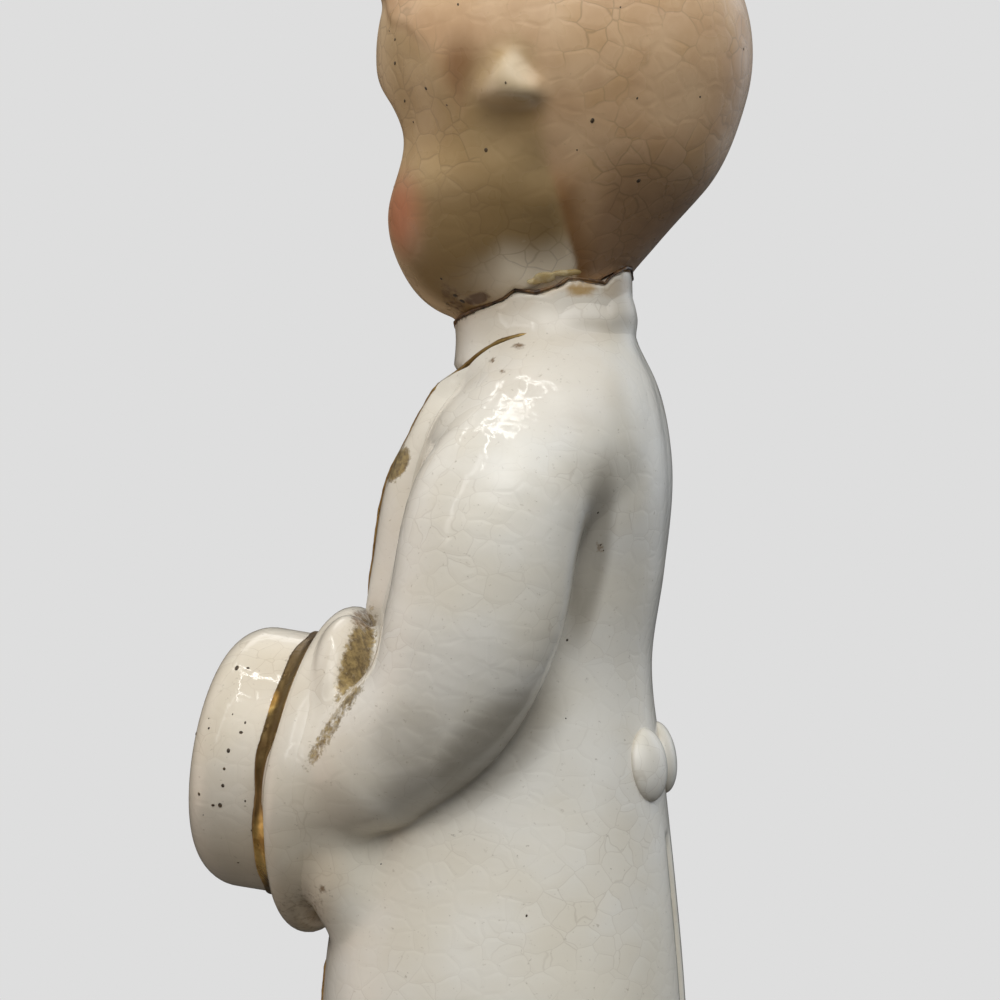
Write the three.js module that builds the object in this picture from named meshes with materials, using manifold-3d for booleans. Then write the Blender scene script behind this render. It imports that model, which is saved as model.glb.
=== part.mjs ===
// A glazed ceramic bridegroom for the top of a wedding cake, about 115 mm tall.
// He stands on his own two shoes, faces -Y and holds a top hat in front of his coat.
// Lengths are millimetres, +Z is up and +X is the figure's own left.
import * as THREE from "three";
import { mergeVertices } from "three/addons/utils/BufferGeometryUtils.js";
import Module from "manifold-3d";

const wasm = await Module();
wasm.setup();

// Clearance and casting walls
const GAP = 0.3;
const WALL = 2.6;
const BORE_RADIUS = 3.8;
const VENT_HOLE_RADIUS = 3.2;

// Where the head broke off the neck: height at the middle of the neck, slope up to the back, jags.
// The heights of the coat, shoulders and neck below are shares of it, and the head stands on it.
const BREAK_HEIGHT = 85.7;
const BREAK_SLOPE = 0.33;
const BREAK_JAG = 0.25;
const BREAK_GRID = 1.23;
const GLUE_THICKNESS = 0.36;
const GLUE_PROUD = 0.25;

// Coat and neck, as level stations from the hem up. Each has a height as a share of the break's,
// a half width, a reach to the front and a reach to the back.
const COAT_SHARES = [0.315, 0.397, 0.478, 0.607, 0.7, 0.782, 0.852, 0.898, 0.933, 0.968, 1.004, 1.05];
const COAT_HALVES = [13.8, 13.5, 12.9, 11.2, 10.3, 10.6, 10.9, 10.3, 8.4, 6.7, 6.2, 6.2];
const COAT_FRONTS = [13.1, 12.9, 12.3, 10.2, 9.3, 8.2, 7.1, 5.1, 3.7, 3.3, 3.6, 3.6];
const COAT_BACKS = [13.3, 13.0, 12.5, 11.4, 10.5, 11.4, 11.8, 11.4, 10.7, 9.3, 8.9, 9.0];
const COAT_SQUARENESS = 2.15;
const COAT_CAVITY_TOP_Z = 0.91 * BREAK_HEIGHT;
const COAT_SIDES = 36;
const COAT_RINGS = 24;

// Head, in its own frame: it stands on the break, and its axis is behind the neck's
const HEAD_AXIS_Y = 4.35;
const HEAD_TURN_DEG = -14;
const HEAD_HEART_Z = 13.3;
const HEAD_REACH = 24;
const SKULL = { at: [0, 0, 17.3], radii: [12.9, 13.3, 12.5] };
const OCCIPUT = { at: [0, 3.0, 8.8], radii: [8.2, 5.9, 5.4] };
const JAW = { at: [0, -2.2, 7.8], radii: [10.4, 9.1, 8.4] };
const CHEEK = { at: [4.5, -5.1, 5.8], radii: [5.7, 5.7, 5.6] };
const CHIN = { at: [0, -7.4, 2.6], radii: [4.4, 3.7, 3.2] };
const NAPE = { at: [0, -1.7, 0.3], radii: [5.8, 5.9, 9] };
const NOSE = { at: [0, -11.6, 8.7], radii: [1.5, 1.8, 1.4] };
const EAR = { at: [12.5, 1.5, 13.8], radii: [1.4, 1.9, 2.6] };
const SOCKET = { at: [5.2, -13.2, 11.2], radii: [3.8, 3.6, 2.8] };
const SOFT_JOIN = 3.2;
const CRISP_JOIN = 0.9;
const HEAD_CAVITY = { at: [0, 0.5, 15.8], radii: [10, 10.4, 10] };
const HEAD_SIDES = 40;
const HEAD_RINGS = 30;

// Top hat, held by its brim with the crown pointing forwards and a little up
const HAT_HEIGHT = 52.4;
const HAT_TILT_DEG = 8;
const BRIM_RADIUS = 11.7;
const BRIM_THICKNESS = 2.7;
const CROWN_RADIUS = 9.1;
const CROWN_DEPTH = 6.9;
const CROWN_CORNER = 2.4;
const BAND_WIDTH = 1;
const BAND_PROUD = 0.25;
const LINING_RADIUS = 9.2;
const LINING_THICKNESS = 0.4;
const HAT_SIDES = 36;

// Sleeves, as stations from the shoulder to the wrist. Each has a reach to the side and to the back,
// a share of the way down, and a radius.
const SHOULDER_Z = 0.877 * BREAK_HEIGHT;
const WRIST_ABOVE_HAT = 1.7;
const SLEEVE_OUT = [8.0, 10.9, 11.9, 11.5, 10.1];
const SLEEVE_BACK = [4.0, 2.5, 0.9, -2.3, -6.4];
const SLEEVE_SHARES = [0, 0.2, 0.53, 0.805, 1];
const SLEEVE_RADII = [5.2, 5.9, 5.9, 5.5, 4.9];
const SLEEVE_FLATNESS = 0.86;
const SLEEVE_END_SHARE = 0.22;
const SLEEVE_SIDES = 20;
const SLEEVE_RINGS = 16;
const HAND_RADII = [3.1, 3.8, 3.9];
const HAND_INSIDE_RIM = 3;
const HAND_BELOW_MIDDLE = 0.6;

// The coat's front edge, from the hem up to the side of the neck:
// angle round from the front in degrees, and share of the break's height
const FRONT_EDGE_DEG = [16, 14, 11, 14, 19, 26, 40, 64, 92];
const FRONT_EDGE_SHARES = [0.315, 0.467, 0.723, 0.817, 0.887, 0.924, 0.949, 0.966, 0.974];
const EDGE_SHARE_PER_RADIAN = 0.23;
const EDGE_TANGENT_STEP = 0.004;
const FRONT_RECESS = 0.8;
const OPENING_TOP_Z = 0.945 * BREAK_HEIGHT;
const GOLD_LINE = 0.7;
const GOLD_THICKNESS = 0.25;
const GOLD_ABOVE_HEM = 0.5;
const LAPEL_ABOVE_BRIM = 0.5;
const LAPEL_BOTTOM_Z = HAT_HEIGHT + BRIM_RADIUS + LAPEL_ABOVE_BRIM;
const LAPEL_TOP_Z = 0.952 * BREAK_HEIGHT;
const LAPEL_SPREAD_DEG = 30;
const LAPEL_CLEAR_DEG = 1.15;
const LAPEL_BULGE_FROM = 0.12;
const LAPEL_BULGE_TO = 0.9;
const LAPEL_THICKNESS = 0.45;

// Shirt front, bow tie and collar
const SHIRT_TOP_Z = 0.94 * BREAK_HEIGHT;
const SHIRT_THICKNESS = 0.3;
const SHIRT_CLEAR_DEG = 2.9;
const BOW_HALF_WIDTH = 2.5;
const BOW_HEIGHT = 2.2;
const BOW_THICKNESS = 0.8;
const BOW_KNOT_SHARE = 0.45;
const BOW_THINNING = 0.35;
const BOW_Z = 0.921 * BREAK_HEIGHT;
const COLLAR_THICKNESS = 0.45;
const COLLAR_DROP = 2.8;
const COLLAR_BELOW_BREAK = 1.3;
const COLLAR_FROM_DEG = 99;

// Back of the coat
const VENT_TOP_Z = 0.56 * BREAK_HEIGHT;
const VENT_WIDTH = 0.6;
const VENT_DEPTH = 0.8;
const TAIL_BUTTON_Z = 0.623 * BREAK_HEIGHT;
const TAIL_BUTTON_DEG = 14.5;
const TAIL_BUTTON_RADIUS = 2.5;
const TAIL_BUTTON_DOME = 0.8;

// Legs and shoes under the coat
const LEG_SIDE = 5.9;
const LEG_Y = 1.2;
const LEG_TOP_RADIUS = 5.6;
const LEG_KNEE_RADIUS = 5.0;
const LEG_ANKLE_RADIUS = 5.2;
const LEG_DEPTH_RATIO = 1.12;
const SHOE_LENGTH = 20;
const SHOE_WIDTH = 9.6;
const SHOE_HEIGHT = 6.4;
const SHOE_TOE_OUT_DEG = 6;
const SHOE_FORWARD = 2.8;
const SHOE_TOE_DROP = 0.25;
const SHOE_WAIST = { at: 0.25, depth: 0.16, reach: 0.35 };
const SHOE_SIDE_POWER = 0.85;
const SHOE_TOE_POWER = 0.8;
const TROUSER_CUFF_Z = 3.4;

// Glaze and fired gold
const WHITE_GLAZE = { color: 0xc4bdaf, roughness: 0.12, metalness: 0 };
const SKIN_GLAZE = { color: 0xb59a76, roughness: 0.14, metalness: 0 };
const FIRED_GOLD = { color: 0xa07a3c, roughness: 0.3, metalness: 1 };
const GLUE = { color: 0xb39660, roughness: 0.25, metalness: 0 };

const radians = THREE.MathUtils.degToRad;
const lerp = THREE.MathUtils.lerp;

// Solids

function solidOf(geometry) {
  const bare = geometry.clone();
  bare.deleteAttribute("normal");
  bare.deleteAttribute("uv");
  const merged = mergeVertices(bare, 1e-4);
  const vertProperties = new Float32Array(merged.attributes.position.array);
  const triVerts = new Uint32Array(merged.index.array);
  return new wasm.Manifold(new wasm.Mesh({ numProp: 3, vertProperties, triVerts }));
}

function geometryOf(solid) {
  const mesh = solid.getMesh();
  const geometry = new THREE.BufferGeometry();
  geometry.setAttribute("position", new THREE.BufferAttribute(mesh.vertProperties, 3));
  geometry.setIndex(new THREE.BufferAttribute(mesh.triVerts, 1));
  geometry.computeVertexNormals();
  return geometry;
}

// Moves every vertex of a geometry to the place that the function gives for it.
function reshape(geometry, place) {
  const position = geometry.attributes.position;
  const point = new THREE.Vector3();
  for (let i = 0; i < position.count; i++) {
    point.fromBufferAttribute(position, i);
    const moved = place(point);
    position.setXYZ(i, moved.x, moved.y, moved.z);
  }
  return geometry;
}

function cut(solid, ...tools) {
  return tools.reduce((left, tool) => left.subtract(tool), solid);
}

// A cylinder that stands along Z between two heights.
function post(radius, low, high, x = 0, y = 0, sides = 24) {
  const geometry = new THREE.CylinderGeometry(radius, radius, high - low, sides);
  geometry.rotateX(Math.PI / 2);
  geometry.translate(x, y, (low + high) / 2);
  return solidOf(geometry);
}

// The value at x of a smooth curve through the knots, flat outside them.
function smoothThrough(xs, ys, x) {
  const last = xs.length - 1;
  if (x <= xs[0]) return ys[0];
  if (x >= xs[last]) return ys[last];
  let i = 0;
  while (x > xs[i + 1]) i++;
  const slope = (k) => {
    const from = Math.max(k - 1, 0);
    const to = Math.min(k + 1, last);
    return (ys[to] - ys[from]) / (xs[to] - xs[from]);
  };
  const width = xs[i + 1] - xs[i];
  const t = (x - xs[i]) / width;
  const rise = (2 * t ** 3 - 3 * t ** 2 + 1) * ys[i] + (3 * t ** 2 - 2 * t ** 3) * ys[i + 1];
  const lean = (t ** 3 - 2 * t ** 2 + t) * slope(i) + (t ** 3 - t ** 2) * slope(i + 1);
  return rise + lean * width;
}

// The coat's surface

const STATION_Z = COAT_SHARES.map((share) => share * BREAK_HEIGHT);
const HEM_Z = STATION_Z[0];
const NECK_END_Z = STATION_Z.at(-1);
const coatHalf = (z) => smoothThrough(STATION_Z, COAT_HALVES, z);
const coatFront = (z) => smoothThrough(STATION_Z, COAT_FRONTS, z);
const coatBack = (z) => smoothThrough(STATION_Z, COAT_BACKS, z);
const NECK_Y = (coatBack(NECK_END_Z) - coatFront(NECK_END_Z)) / 2;

// A point of the coat at an angle round from the front towards +X, moved out by a distance.
function coatPoint(angle, z, out = 0) {
  const depth = (coatFront(z) + coatBack(z)) / 2 + out;
  const half = coatHalf(z) + out;
  const power = 2 / COAT_SQUARENESS;
  const sine = Math.sin(angle);
  const cosine = Math.cos(angle);
  const x = half * Math.sign(sine) * Math.abs(sine) ** power;
  const y = -depth * Math.sign(cosine) * Math.abs(cosine) ** power;
  return new THREE.Vector3(x, y + (coatBack(z) - coatFront(z)) / 2, z);
}

// The coat's skin between two heights, as a closed loft.
function coatLoft(low, high, out, sides = COAT_SIDES, rings = COAT_RINGS) {
  const geometry = new THREE.CylinderGeometry(1, 1, 1, sides, rings);
  reshape(geometry, (p) => {
    const z = lerp(low, high, p.y + 0.5);
    const round = Math.hypot(p.x, p.z);
    const skin = coatPoint(Math.atan2(p.x, p.z), z, out);
    const middle = coatPoint(0, z).add(coatPoint(Math.PI, z)).multiplyScalar(0.5);
    return middle.lerp(skin, round);
  });
  return solidOf(geometry);
}

// A thin sheet on the coat: u from 0 to 1 across, v from 0 to 1 up, between two depths over the skin.
function sheetOnCoat(angleAt, heightAt, inner, outer, across, up) {
  const geometry = new THREE.BoxGeometry(1, 1, 1, across, up, 1);
  reshape(geometry, (p) => {
    const u = p.x + 0.5;
    const v = p.y + 0.5;
    const depth = p.z > 0 ? outer : inner;
    return coatPoint(angleAt(u, v), heightAt(u, v), depth);
  });
  return solidOf(geometry);
}

// The broken neck

function breakHeight(x, y) {
  const jag = Math.sin(1.3 * x + 0.9 * y) + 0.7 * Math.sin(2.3 * y - 1.1 * x + 1);
  return BREAK_HEIGHT + BREAK_SLOPE * (y - NECK_Y) + BREAK_JAG * jag;
}

// All the room below the broken face, moved up by a distance.
function roomBelowBreak(shift) {
  const width = 2 * HEAD_REACH;
  const squares = Math.round(width / BREAK_GRID);
  const geometry = new THREE.BoxGeometry(width, width, 1, squares, squares, 1);
  reshape(geometry, (p) => {
    const y = p.y + NECK_Y;
    return new THREE.Vector3(p.x, y, p.z > 0 ? breakHeight(p.x, y) + shift : 0);
  });
  return solidOf(geometry);
}

// The layer of glue between the two broken faces, a little proud of the neck.
function glueBead() {
  const low = BREAK_HEIGHT - BORE_RADIUS;
  const high = BREAK_HEIGHT + BORE_RADIUS;
  const column = coatLoft(low, high, GLUE_PROUD, COAT_SIDES, 1);
  const bore = post(BORE_RADIUS, low - 1, high + 1, 0, NECK_Y);
  const layer = column.intersect(roomBelowBreak(GLUE_THICKNESS / 2));
  return cut(layer, roomBelowBreak(-GLUE_THICKNESS / 2), bore);
}

// Ellipsoids that melt into each other, for the head

function ellipsoidDistance(p, shape, side = 1) {
  const [rx, ry, rz] = shape.radii;
  const d = [p.x - side * shape.at[0], p.y - shape.at[1], p.z - shape.at[2]];
  const near = Math.hypot(d[0] / rx, d[1] / ry, d[2] / rz);
  const steep = Math.hypot(d[0] / rx ** 2, d[1] / ry ** 2, d[2] / rz ** 2);
  return steep < 1e-9 ? -Math.min(rx, ry, rz) : (near * (near - 1)) / steep;
}

function melt(a, b, blend) {
  const h = Math.max(blend - Math.abs(a - b), 0) / blend;
  return Math.min(a, b) - (h * h * blend) / 4;
}

function headDistance(p) {
  let d = ellipsoidDistance(p, SKULL);
  d = melt(d, ellipsoidDistance(p, OCCIPUT), SOFT_JOIN);
  d = melt(d, ellipsoidDistance(p, JAW), SOFT_JOIN);
  for (const side of [1, -1]) d = melt(d, ellipsoidDistance(p, CHEEK, side), SOFT_JOIN);
  d = melt(d, ellipsoidDistance(p, CHIN), SOFT_JOIN);
  for (const side of [1, -1]) d = -melt(-d, ellipsoidDistance(p, SOCKET, side), SOFT_JOIN);
  d = melt(d, ellipsoidDistance(p, NOSE), CRISP_JOIN);
  for (const side of [1, -1]) d = melt(d, ellipsoidDistance(p, EAR, side), CRISP_JOIN);
  return melt(d, ellipsoidDistance(p, NAPE), SOFT_JOIN);
}

// A ball whose vertices slide along their own rays onto the head's surface.
function headSkin() {
  const heart = new THREE.Vector3(0, 0, HEAD_HEART_Z);
  const geometry = new THREE.SphereGeometry(1, HEAD_SIDES, HEAD_RINGS);
  geometry.rotateX(Math.PI / 2);
  reshape(geometry, (p) => {
    const ray = p.clone().normalize();
    let near = 0;
    let far = HEAD_REACH;
    for (let step = 0; step < 30; step++) {
      const middle = (near + far) / 2;
      const inside = headDistance(heart.clone().addScaledVector(ray, middle)) < 0;
      if (inside) near = middle;
      else far = middle;
    }
    return heart.clone().addScaledVector(ray, near);
  });
  return geometry;
}

function turnHead(geometry) {
  geometry.rotateZ(radians(HEAD_TURN_DEG));
  geometry.translate(0, HEAD_AXIS_Y, BREAK_HEIGHT);
  return geometry;
}

function headCasting() {
  const cavity = new THREE.SphereGeometry(1, 20, 12);
  cavity.scale(...HEAD_CAVITY.radii);
  cavity.translate(...HEAD_CAVITY.at);
  const low = BREAK_HEIGHT - 2 * BORE_RADIUS;
  const high = BREAK_HEIGHT + HEAD_CAVITY.at[2];
  const bore = post(BORE_RADIUS, low, high, 0, NECK_Y);
  const lost = roomBelowBreak(GLUE_THICKNESS / 2 + GAP);
  return cut(solidOf(turnHead(headSkin())), solidOf(turnHead(cavity)), bore, lost);
}

// The hat, made upright with the brim's middle at the origin and the crown along +Z

const HAT_Y = -(coatFront(HAT_HEIGHT) + BRIM_THICKNESS / 2 + LINING_THICKNESS + 3 * GAP);

function placeHat(geometry) {
  geometry.rotateX(Math.PI / 2 - radians(HAT_TILT_DEG));
  geometry.translate(0, HAT_Y, HAT_HEIGHT);
  return geometry;
}

// A ring or disc turned from its profile, given as radius and height pairs.
function turned(points, sides = HAT_SIDES) {
  const geometry = new THREE.LatheGeometry(points.map(([r, z]) => new THREE.Vector2(r, z)), sides);
  geometry.rotateX(Math.PI / 2);
  return geometry;
}

// The points of a quarter round from one angle to another about a centre.
function arc(centreR, centreZ, radius, fromDeg, toDeg, steps = 4) {
  return Array.from({ length: steps + 1 }, (_, i) => {
    const angle = radians(lerp(fromDeg, toDeg, i / steps));
    return [centreR + radius * Math.cos(angle), centreZ + radius * Math.sin(angle)];
  });
}

function brimProfile(grow) {
  const round = BRIM_THICKNESS / 2;
  const rim = arc(BRIM_RADIUS - round, 0, round + grow, -90, 90, 8);
  return [[0, -round - grow], ...rim, [0, round + grow]];
}

function crownProfile() {
  const low = BRIM_THICKNESS / 2 + GAP;
  const high = BRIM_THICKNESS / 2 + CROWN_DEPTH;
  const corner = arc(CROWN_RADIUS - CROWN_CORNER, high - CROWN_CORNER, CROWN_CORNER, 0, 90, 5);
  return [[0, low], [CROWN_RADIUS, low], ...corner, [0, high + CROWN_CORNER / 8]];
}

function bandProfile() {
  const low = BRIM_THICKNESS / 2 + GAP;
  const inner = CROWN_RADIUS + GAP / 2;
  const outer = inner + BAND_PROUD;
  const high = low + BAND_WIDTH;
  return [[inner, low], [outer, low], [outer, high], [inner, high], [inner, low]];
}

function liningProfile() {
  const high = -BRIM_THICKNESS / 2 - GAP;
  const low = high - LINING_THICKNESS;
  return [[0, low], [LINING_RADIUS, low], [LINING_RADIUS, high], [0, high]];
}

const hatPiece = (profile) => solidOf(placeHat(turned(profile)));

// Sleeves and hands

const HAND_AT = new THREE.Vector3(
  BRIM_RADIUS - HAND_INSIDE_RIM,
  HAT_Y + BRIM_THICKNESS,
  HAT_HEIGHT - HAND_BELOW_MIDDLE,
);

function sleevePath(side) {
  const points = SLEEVE_SHARES.map((share, i) => {
    const z = lerp(SHOULDER_Z, HAT_HEIGHT + WRIST_ABOVE_HAT, share);
    return new THREE.Vector3(side * SLEEVE_OUT[i], SLEEVE_BACK[i], z);
  });
  return new THREE.CatmullRomCurve3(points, false, "centripetal");
}

function sleeveRadius(t) {
  const places = SLEEVE_RADII.map((_, i) => i / (SLEEVE_RADII.length - 1));
  return smoothThrough(places, SLEEVE_RADII, t);
}

// A capsule bent along the arm: its waist follows the path and its two ends are half balls.
function sleeveSkin(side, grow = 0) {
  const path = sleevePath(side);
  const geometry = new THREE.CylinderGeometry(1, 1, 1, SLEEVE_SIDES, SLEEVE_RINGS);
  const share = SLEEVE_END_SHARE;
  reshape(geometry, (p) => {
    const v = 0.5 - p.y;
    const t = THREE.MathUtils.clamp((v - share) / (1 - 2 * share), 0, 1);
    const over = (v < share ? v - share : Math.max(v - 1 + share, 0)) / share;
    const middle = path.getPoint(t);
    const along = path.getTangent(t);
    const outward = new THREE.Vector3(side, 0, 0).addScaledVector(along, -side * along.x).normalize();
    const across = new THREE.Vector3().crossVectors(along, outward);
    const radius = sleeveRadius(t) + grow;
    const bulge = Math.sin((over * Math.PI) / 2);
    const waist = Math.cos((over * Math.PI) / 2);
    return middle
      .addScaledVector(along, radius * bulge)
      .addScaledVector(outward, p.x * waist * radius * SLEEVE_FLATNESS)
      .addScaledVector(across, p.z * waist * radius);
  });
  return geometry;
}

function handSkin(side, grow = 0) {
  const geometry = new THREE.SphereGeometry(1, 16, 12);
  geometry.scale(...HAND_RADII.map((r) => r + grow));
  geometry.rotateX(radians(-HAT_TILT_DEG));
  geometry.translate(side * HAND_AT.x, HAND_AT.y, HAND_AT.z);
  return geometry;
}

// Legs and shoes

function legSkin(side, grow = 0) {
  const low = TROUSER_CUFF_Z - grow;
  const high = HEM_Z - GAP + grow;
  const knee = (TROUSER_CUFF_Z + HEM_Z) / 2;
  const radii = [LEG_ANKLE_RADIUS, LEG_KNEE_RADIUS, LEG_TOP_RADIUS];
  const geometry = new THREE.CylinderGeometry(1, 1, 1, 20, 8);
  reshape(geometry, (p) => {
    const z = lerp(low, high, p.y + 0.5);
    const radius = smoothThrough([TROUSER_CUFF_Z, knee, HEM_Z], radii, z) + grow;
    const y = LEG_Y - p.z * radius * LEG_DEPTH_RATIO;
    return new THREE.Vector3(side * LEG_SIDE + p.x * radius, y, z);
  });
  return geometry;
}

// A rounded shoe: a ball drawn out to its length and cut flat at the sole.
function shoeSkin(side) {
  const geometry = new THREE.SphereGeometry(1, 24, 16);
  geometry.rotateX(Math.PI / 2);
  reshape(geometry, (p) => {
    const toe = THREE.MathUtils.clamp(-p.y, 0, 1);
    const height = SHOE_HEIGHT * (1 - SHOE_TOE_DROP * toe);
    const alongWaist = (p.y - SHOE_WAIST.at) / SHOE_WAIST.reach;
    const waist = 1 - SHOE_WAIST.depth * Math.exp(-(alongWaist ** 2));
    const side = Math.sign(p.x) * Math.abs(p.x) ** SHOE_SIDE_POWER;
    const along = Math.sign(p.y) * Math.abs(p.y) ** SHOE_TOE_POWER;
    return new THREE.Vector3(
      side * (SHOE_WIDTH / 2) * waist,
      along * (SHOE_LENGTH / 2),
      p.z > 0 ? p.z ** SHOE_TOE_POWER * height : p.z,
    );
  });
  geometry.rotateZ(radians(side * SHOE_TOE_OUT_DEG));
  geometry.translate(side * LEG_SIDE, LEG_Y - SHOE_FORWARD, 0);
  return geometry;
}

// The room under the figure, which cuts the soles flat.
function ground() {
  const geometry = new THREE.BoxGeometry(4 * SHOE_LENGTH, 4 * SHOE_LENGTH, SHOE_LENGTH);
  geometry.translate(0, 0, -SHOE_LENGTH / 2);
  return solidOf(geometry);
}

// Pieces

function coatCasting() {
  const outside = coatLoft(HEM_Z, NECK_END_Z, 0);
  const cavity = coatLoft(HEM_Z + WALL, COAT_CAVITY_TOP_Z, -WALL, 24, 10);
  const bore = post(BORE_RADIUS, COAT_CAVITY_TOP_Z - WALL, NECK_END_Z + 1, 0, NECK_Y);
  const ventHole = post(VENT_HOLE_RADIUS, HEM_Z - 1, HEM_Z + WALL + 1, 0, LEG_Y);
  const unbroken = outside.intersect(roomBelowBreak(-GLUE_THICKNESS / 2 - GAP));
  return cut(unbroken, cavity, bore, ventHole, coatOpening(), rearVent());
}

// The coat's front edge as a curve of angle and height, with heights scaled to weigh like angles.
const FRONT_EDGE_CURVE = new THREE.CatmullRomCurve3(
  FRONT_EDGE_SHARES.map((share, i) => {
    return new THREE.Vector3(radians(FRONT_EDGE_DEG[i]), share / EDGE_SHARE_PER_RADIAN, 0);
  }),
  false,
  "centripetal",
);
const edgeHeight = (point) => point.y * EDGE_SHARE_PER_RADIAN * BREAK_HEIGHT;

// The place on the front edge's curve where it passes a height, found by halving.
function edgeShare(z) {
  let low = 0;
  let high = 1;
  for (let step = 0; step < 30; step++) {
    const middle = (low + high) / 2;
    if (edgeHeight(FRONT_EDGE_CURVE.getPoint(middle)) < z) low = middle;
    else high = middle;
  }
  return low;
}

const edgeAngle = (z) => FRONT_EDGE_CURVE.getPoint(edgeShare(z)).x;

// The shallow strip between the coat's two front edges, where the coat falls open.
function coatOpening() {
  const heightAt = (u, v) => lerp(HEM_Z - 1, OPENING_TOP_Z, v);
  const angleAt = (u, v) => edgeAngle(heightAt(u, v)) * (2 * u - 1);
  return sheetOnCoat(angleAt, heightAt, -FRONT_RECESS, 2, 6, 16);
}

function rearVent() {
  const geometry = new THREE.BoxGeometry(1, 1, 1, 1, 1, 10);
  reshape(geometry, (p) => {
    const z = lerp(HEM_Z - 1, VENT_TOP_Z, p.z + 0.5);
    const y = coatBack(z) + (p.y > 0 ? 2 : -VENT_DEPTH);
    return new THREE.Vector3(p.x * VENT_WIDTH, y, z);
  });
  return solidOf(geometry);
}

// A raised lapel from the coat's front edge back towards the sleeve, thinning out behind.
function lapel(side) {
  const heightAt = (u, v) => lerp(LAPEL_BOTTOM_Z, LAPEL_TOP_Z, v);
  const angleAt = (u, v) => {
    const across = side > 0 ? u : 1 - u;
    const bulge = Math.sin(Math.PI * lerp(LAPEL_BULGE_FROM, LAPEL_BULGE_TO, v));
    const behind = radians(LAPEL_CLEAR_DEG + LAPEL_SPREAD_DEG * across * bulge);
    return side * (edgeAngle(heightAt(u, v)) + behind);
  };
  return sheetOnCoat(angleAt, heightAt, GAP, GAP + LAPEL_THICKNESS, 5, 14);
}

// The coat's skin round a place: its point, its outward offset and its true normal.
function skinAt(angle, z) {
  const step = 0.01;
  const here = coatPoint(angle, z);
  const round = coatPoint(angle + step, z).sub(here);
  const up = coatPoint(angle, z + step).sub(here);
  const normal = new THREE.Vector3().crossVectors(round, up).normalize();
  const offset = coatPoint(angle, z, 1).sub(here);
  return { here, normal, offset };
}

// A gold line that follows the coat's front edge between two shares of its curve.
function edgeGold(side, from, to, lift, steps) {
  const geometry = new THREE.BoxGeometry(1, 1, 1, 1, steps, 1);
  const onEdge = (t) => {
    const at = FRONT_EDGE_CURVE.getPoint(t);
    return skinAt(side * at.x, edgeHeight(at));
  };
  reshape(geometry, (p) => {
    const t = lerp(from, to, p.y + 0.5);
    const { here, normal, offset } = onEdge(t);
    const before = onEdge(Math.max(t - EDGE_TANGENT_STEP, 0)).here;
    const along = onEdge(Math.min(t + EDGE_TANGENT_STEP, 1)).here.sub(before).normalize();
    const aside = new THREE.Vector3().crossVectors(along, normal).normalize();
    const shift = (p.x + side * 0.5) * GOLD_LINE + side * GAP / 2;
    const rise = lift + (p.z > 0 ? GOLD_THICKNESS : 0);
    return here.addScaledVector(aside, shift).addScaledVector(offset, rise);
  });
  return solidOf(geometry);
}

function lapelGold(side) {
  const lift = GAP + LAPEL_THICKNESS + GAP / 2;
  return edgeGold(side, edgeShare(LAPEL_BOTTOM_Z), 1, lift, 26);
}

function frontEdgeGold(side) {
  const top = HAT_HEIGHT - BRIM_RADIUS - 1;
  return edgeGold(side, edgeShare(HEM_Z + GOLD_ABOVE_HEM), edgeShare(top), GAP / 2, 8);
}

// The shirt and waistcoat in the coat's opening.
function shirtFront() {
  const heightAt = (u, v) => lerp(LAPEL_BOTTOM_Z, SHIRT_TOP_Z, v);
  const angleAt = (u, v) => (edgeAngle(heightAt(u, v)) - radians(SHIRT_CLEAR_DEG)) * (2 * u - 1);
  const base = -FRONT_RECESS + GAP;
  return sheetOnCoat(angleAt, heightAt, base, base + SHIRT_THICKNESS, 6, 12);
}

function bowTie() {
  const geometry = new THREE.BoxGeometry(1, 1, 1, 8, 3, 1);
  const base = -FRONT_RECESS + GAP + SHIRT_THICKNESS + GAP;
  reshape(geometry, (p) => {
    const spreadOut = Math.abs(2 * p.x);
    const tall = BOW_HEIGHT * lerp(BOW_KNOT_SHARE, 1, spreadOut ** 0.7);
    const z = BOW_Z + p.y * tall;
    const angle = (2 * p.x * BOW_HALF_WIDTH) / coatHalf(BOW_Z);
    const thick = BOW_THICKNESS * (1 - BOW_THINNING * spreadOut);
    return coatPoint(angle, z, p.z > 0 ? base + thick : base);
  });
  return solidOf(geometry);
}

// The collar's roll round the back of the neck, under the broken edge.
function coatCollar() {
  const low = BREAK_HEIGHT - COLLAR_DROP;
  const angleAt = (u) => radians(lerp(COLLAR_FROM_DEG, 360 - COLLAR_FROM_DEG, u));
  const heightAt = (u, v) => {
    const skin = coatPoint(angleAt(u), low);
    return lerp(low, breakHeight(skin.x, skin.y) - COLLAR_BELOW_BREAK, v);
  };
  return sheetOnCoat(angleAt, heightAt, GAP, GAP + COLLAR_THICKNESS, 20, 3);
}

function tailButton(side) {
  const angle = Math.PI - side * radians(TAIL_BUTTON_DEG);
  const seat = coatPoint(angle, TAIL_BUTTON_Z);
  const geometry = turned([
    [0, GAP],
    [TAIL_BUTTON_RADIUS, GAP],
    ...arc(0, 0, 1, 12, 90, 4).map(([r, z]) => [
      r * TAIL_BUTTON_RADIUS,
      GAP + z * TAIL_BUTTON_DOME,
    ]),
  ], 24);
  const outward = coatPoint(angle, TAIL_BUTTON_Z, 1).sub(seat).normalize();
  const turn = new THREE.Quaternion().setFromUnitVectors(new THREE.Vector3(0, 0, 1), outward);
  geometry.applyQuaternion(turn);
  geometry.translate(seat.x, seat.y, seat.z);
  return solidOf(geometry);
}

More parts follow.
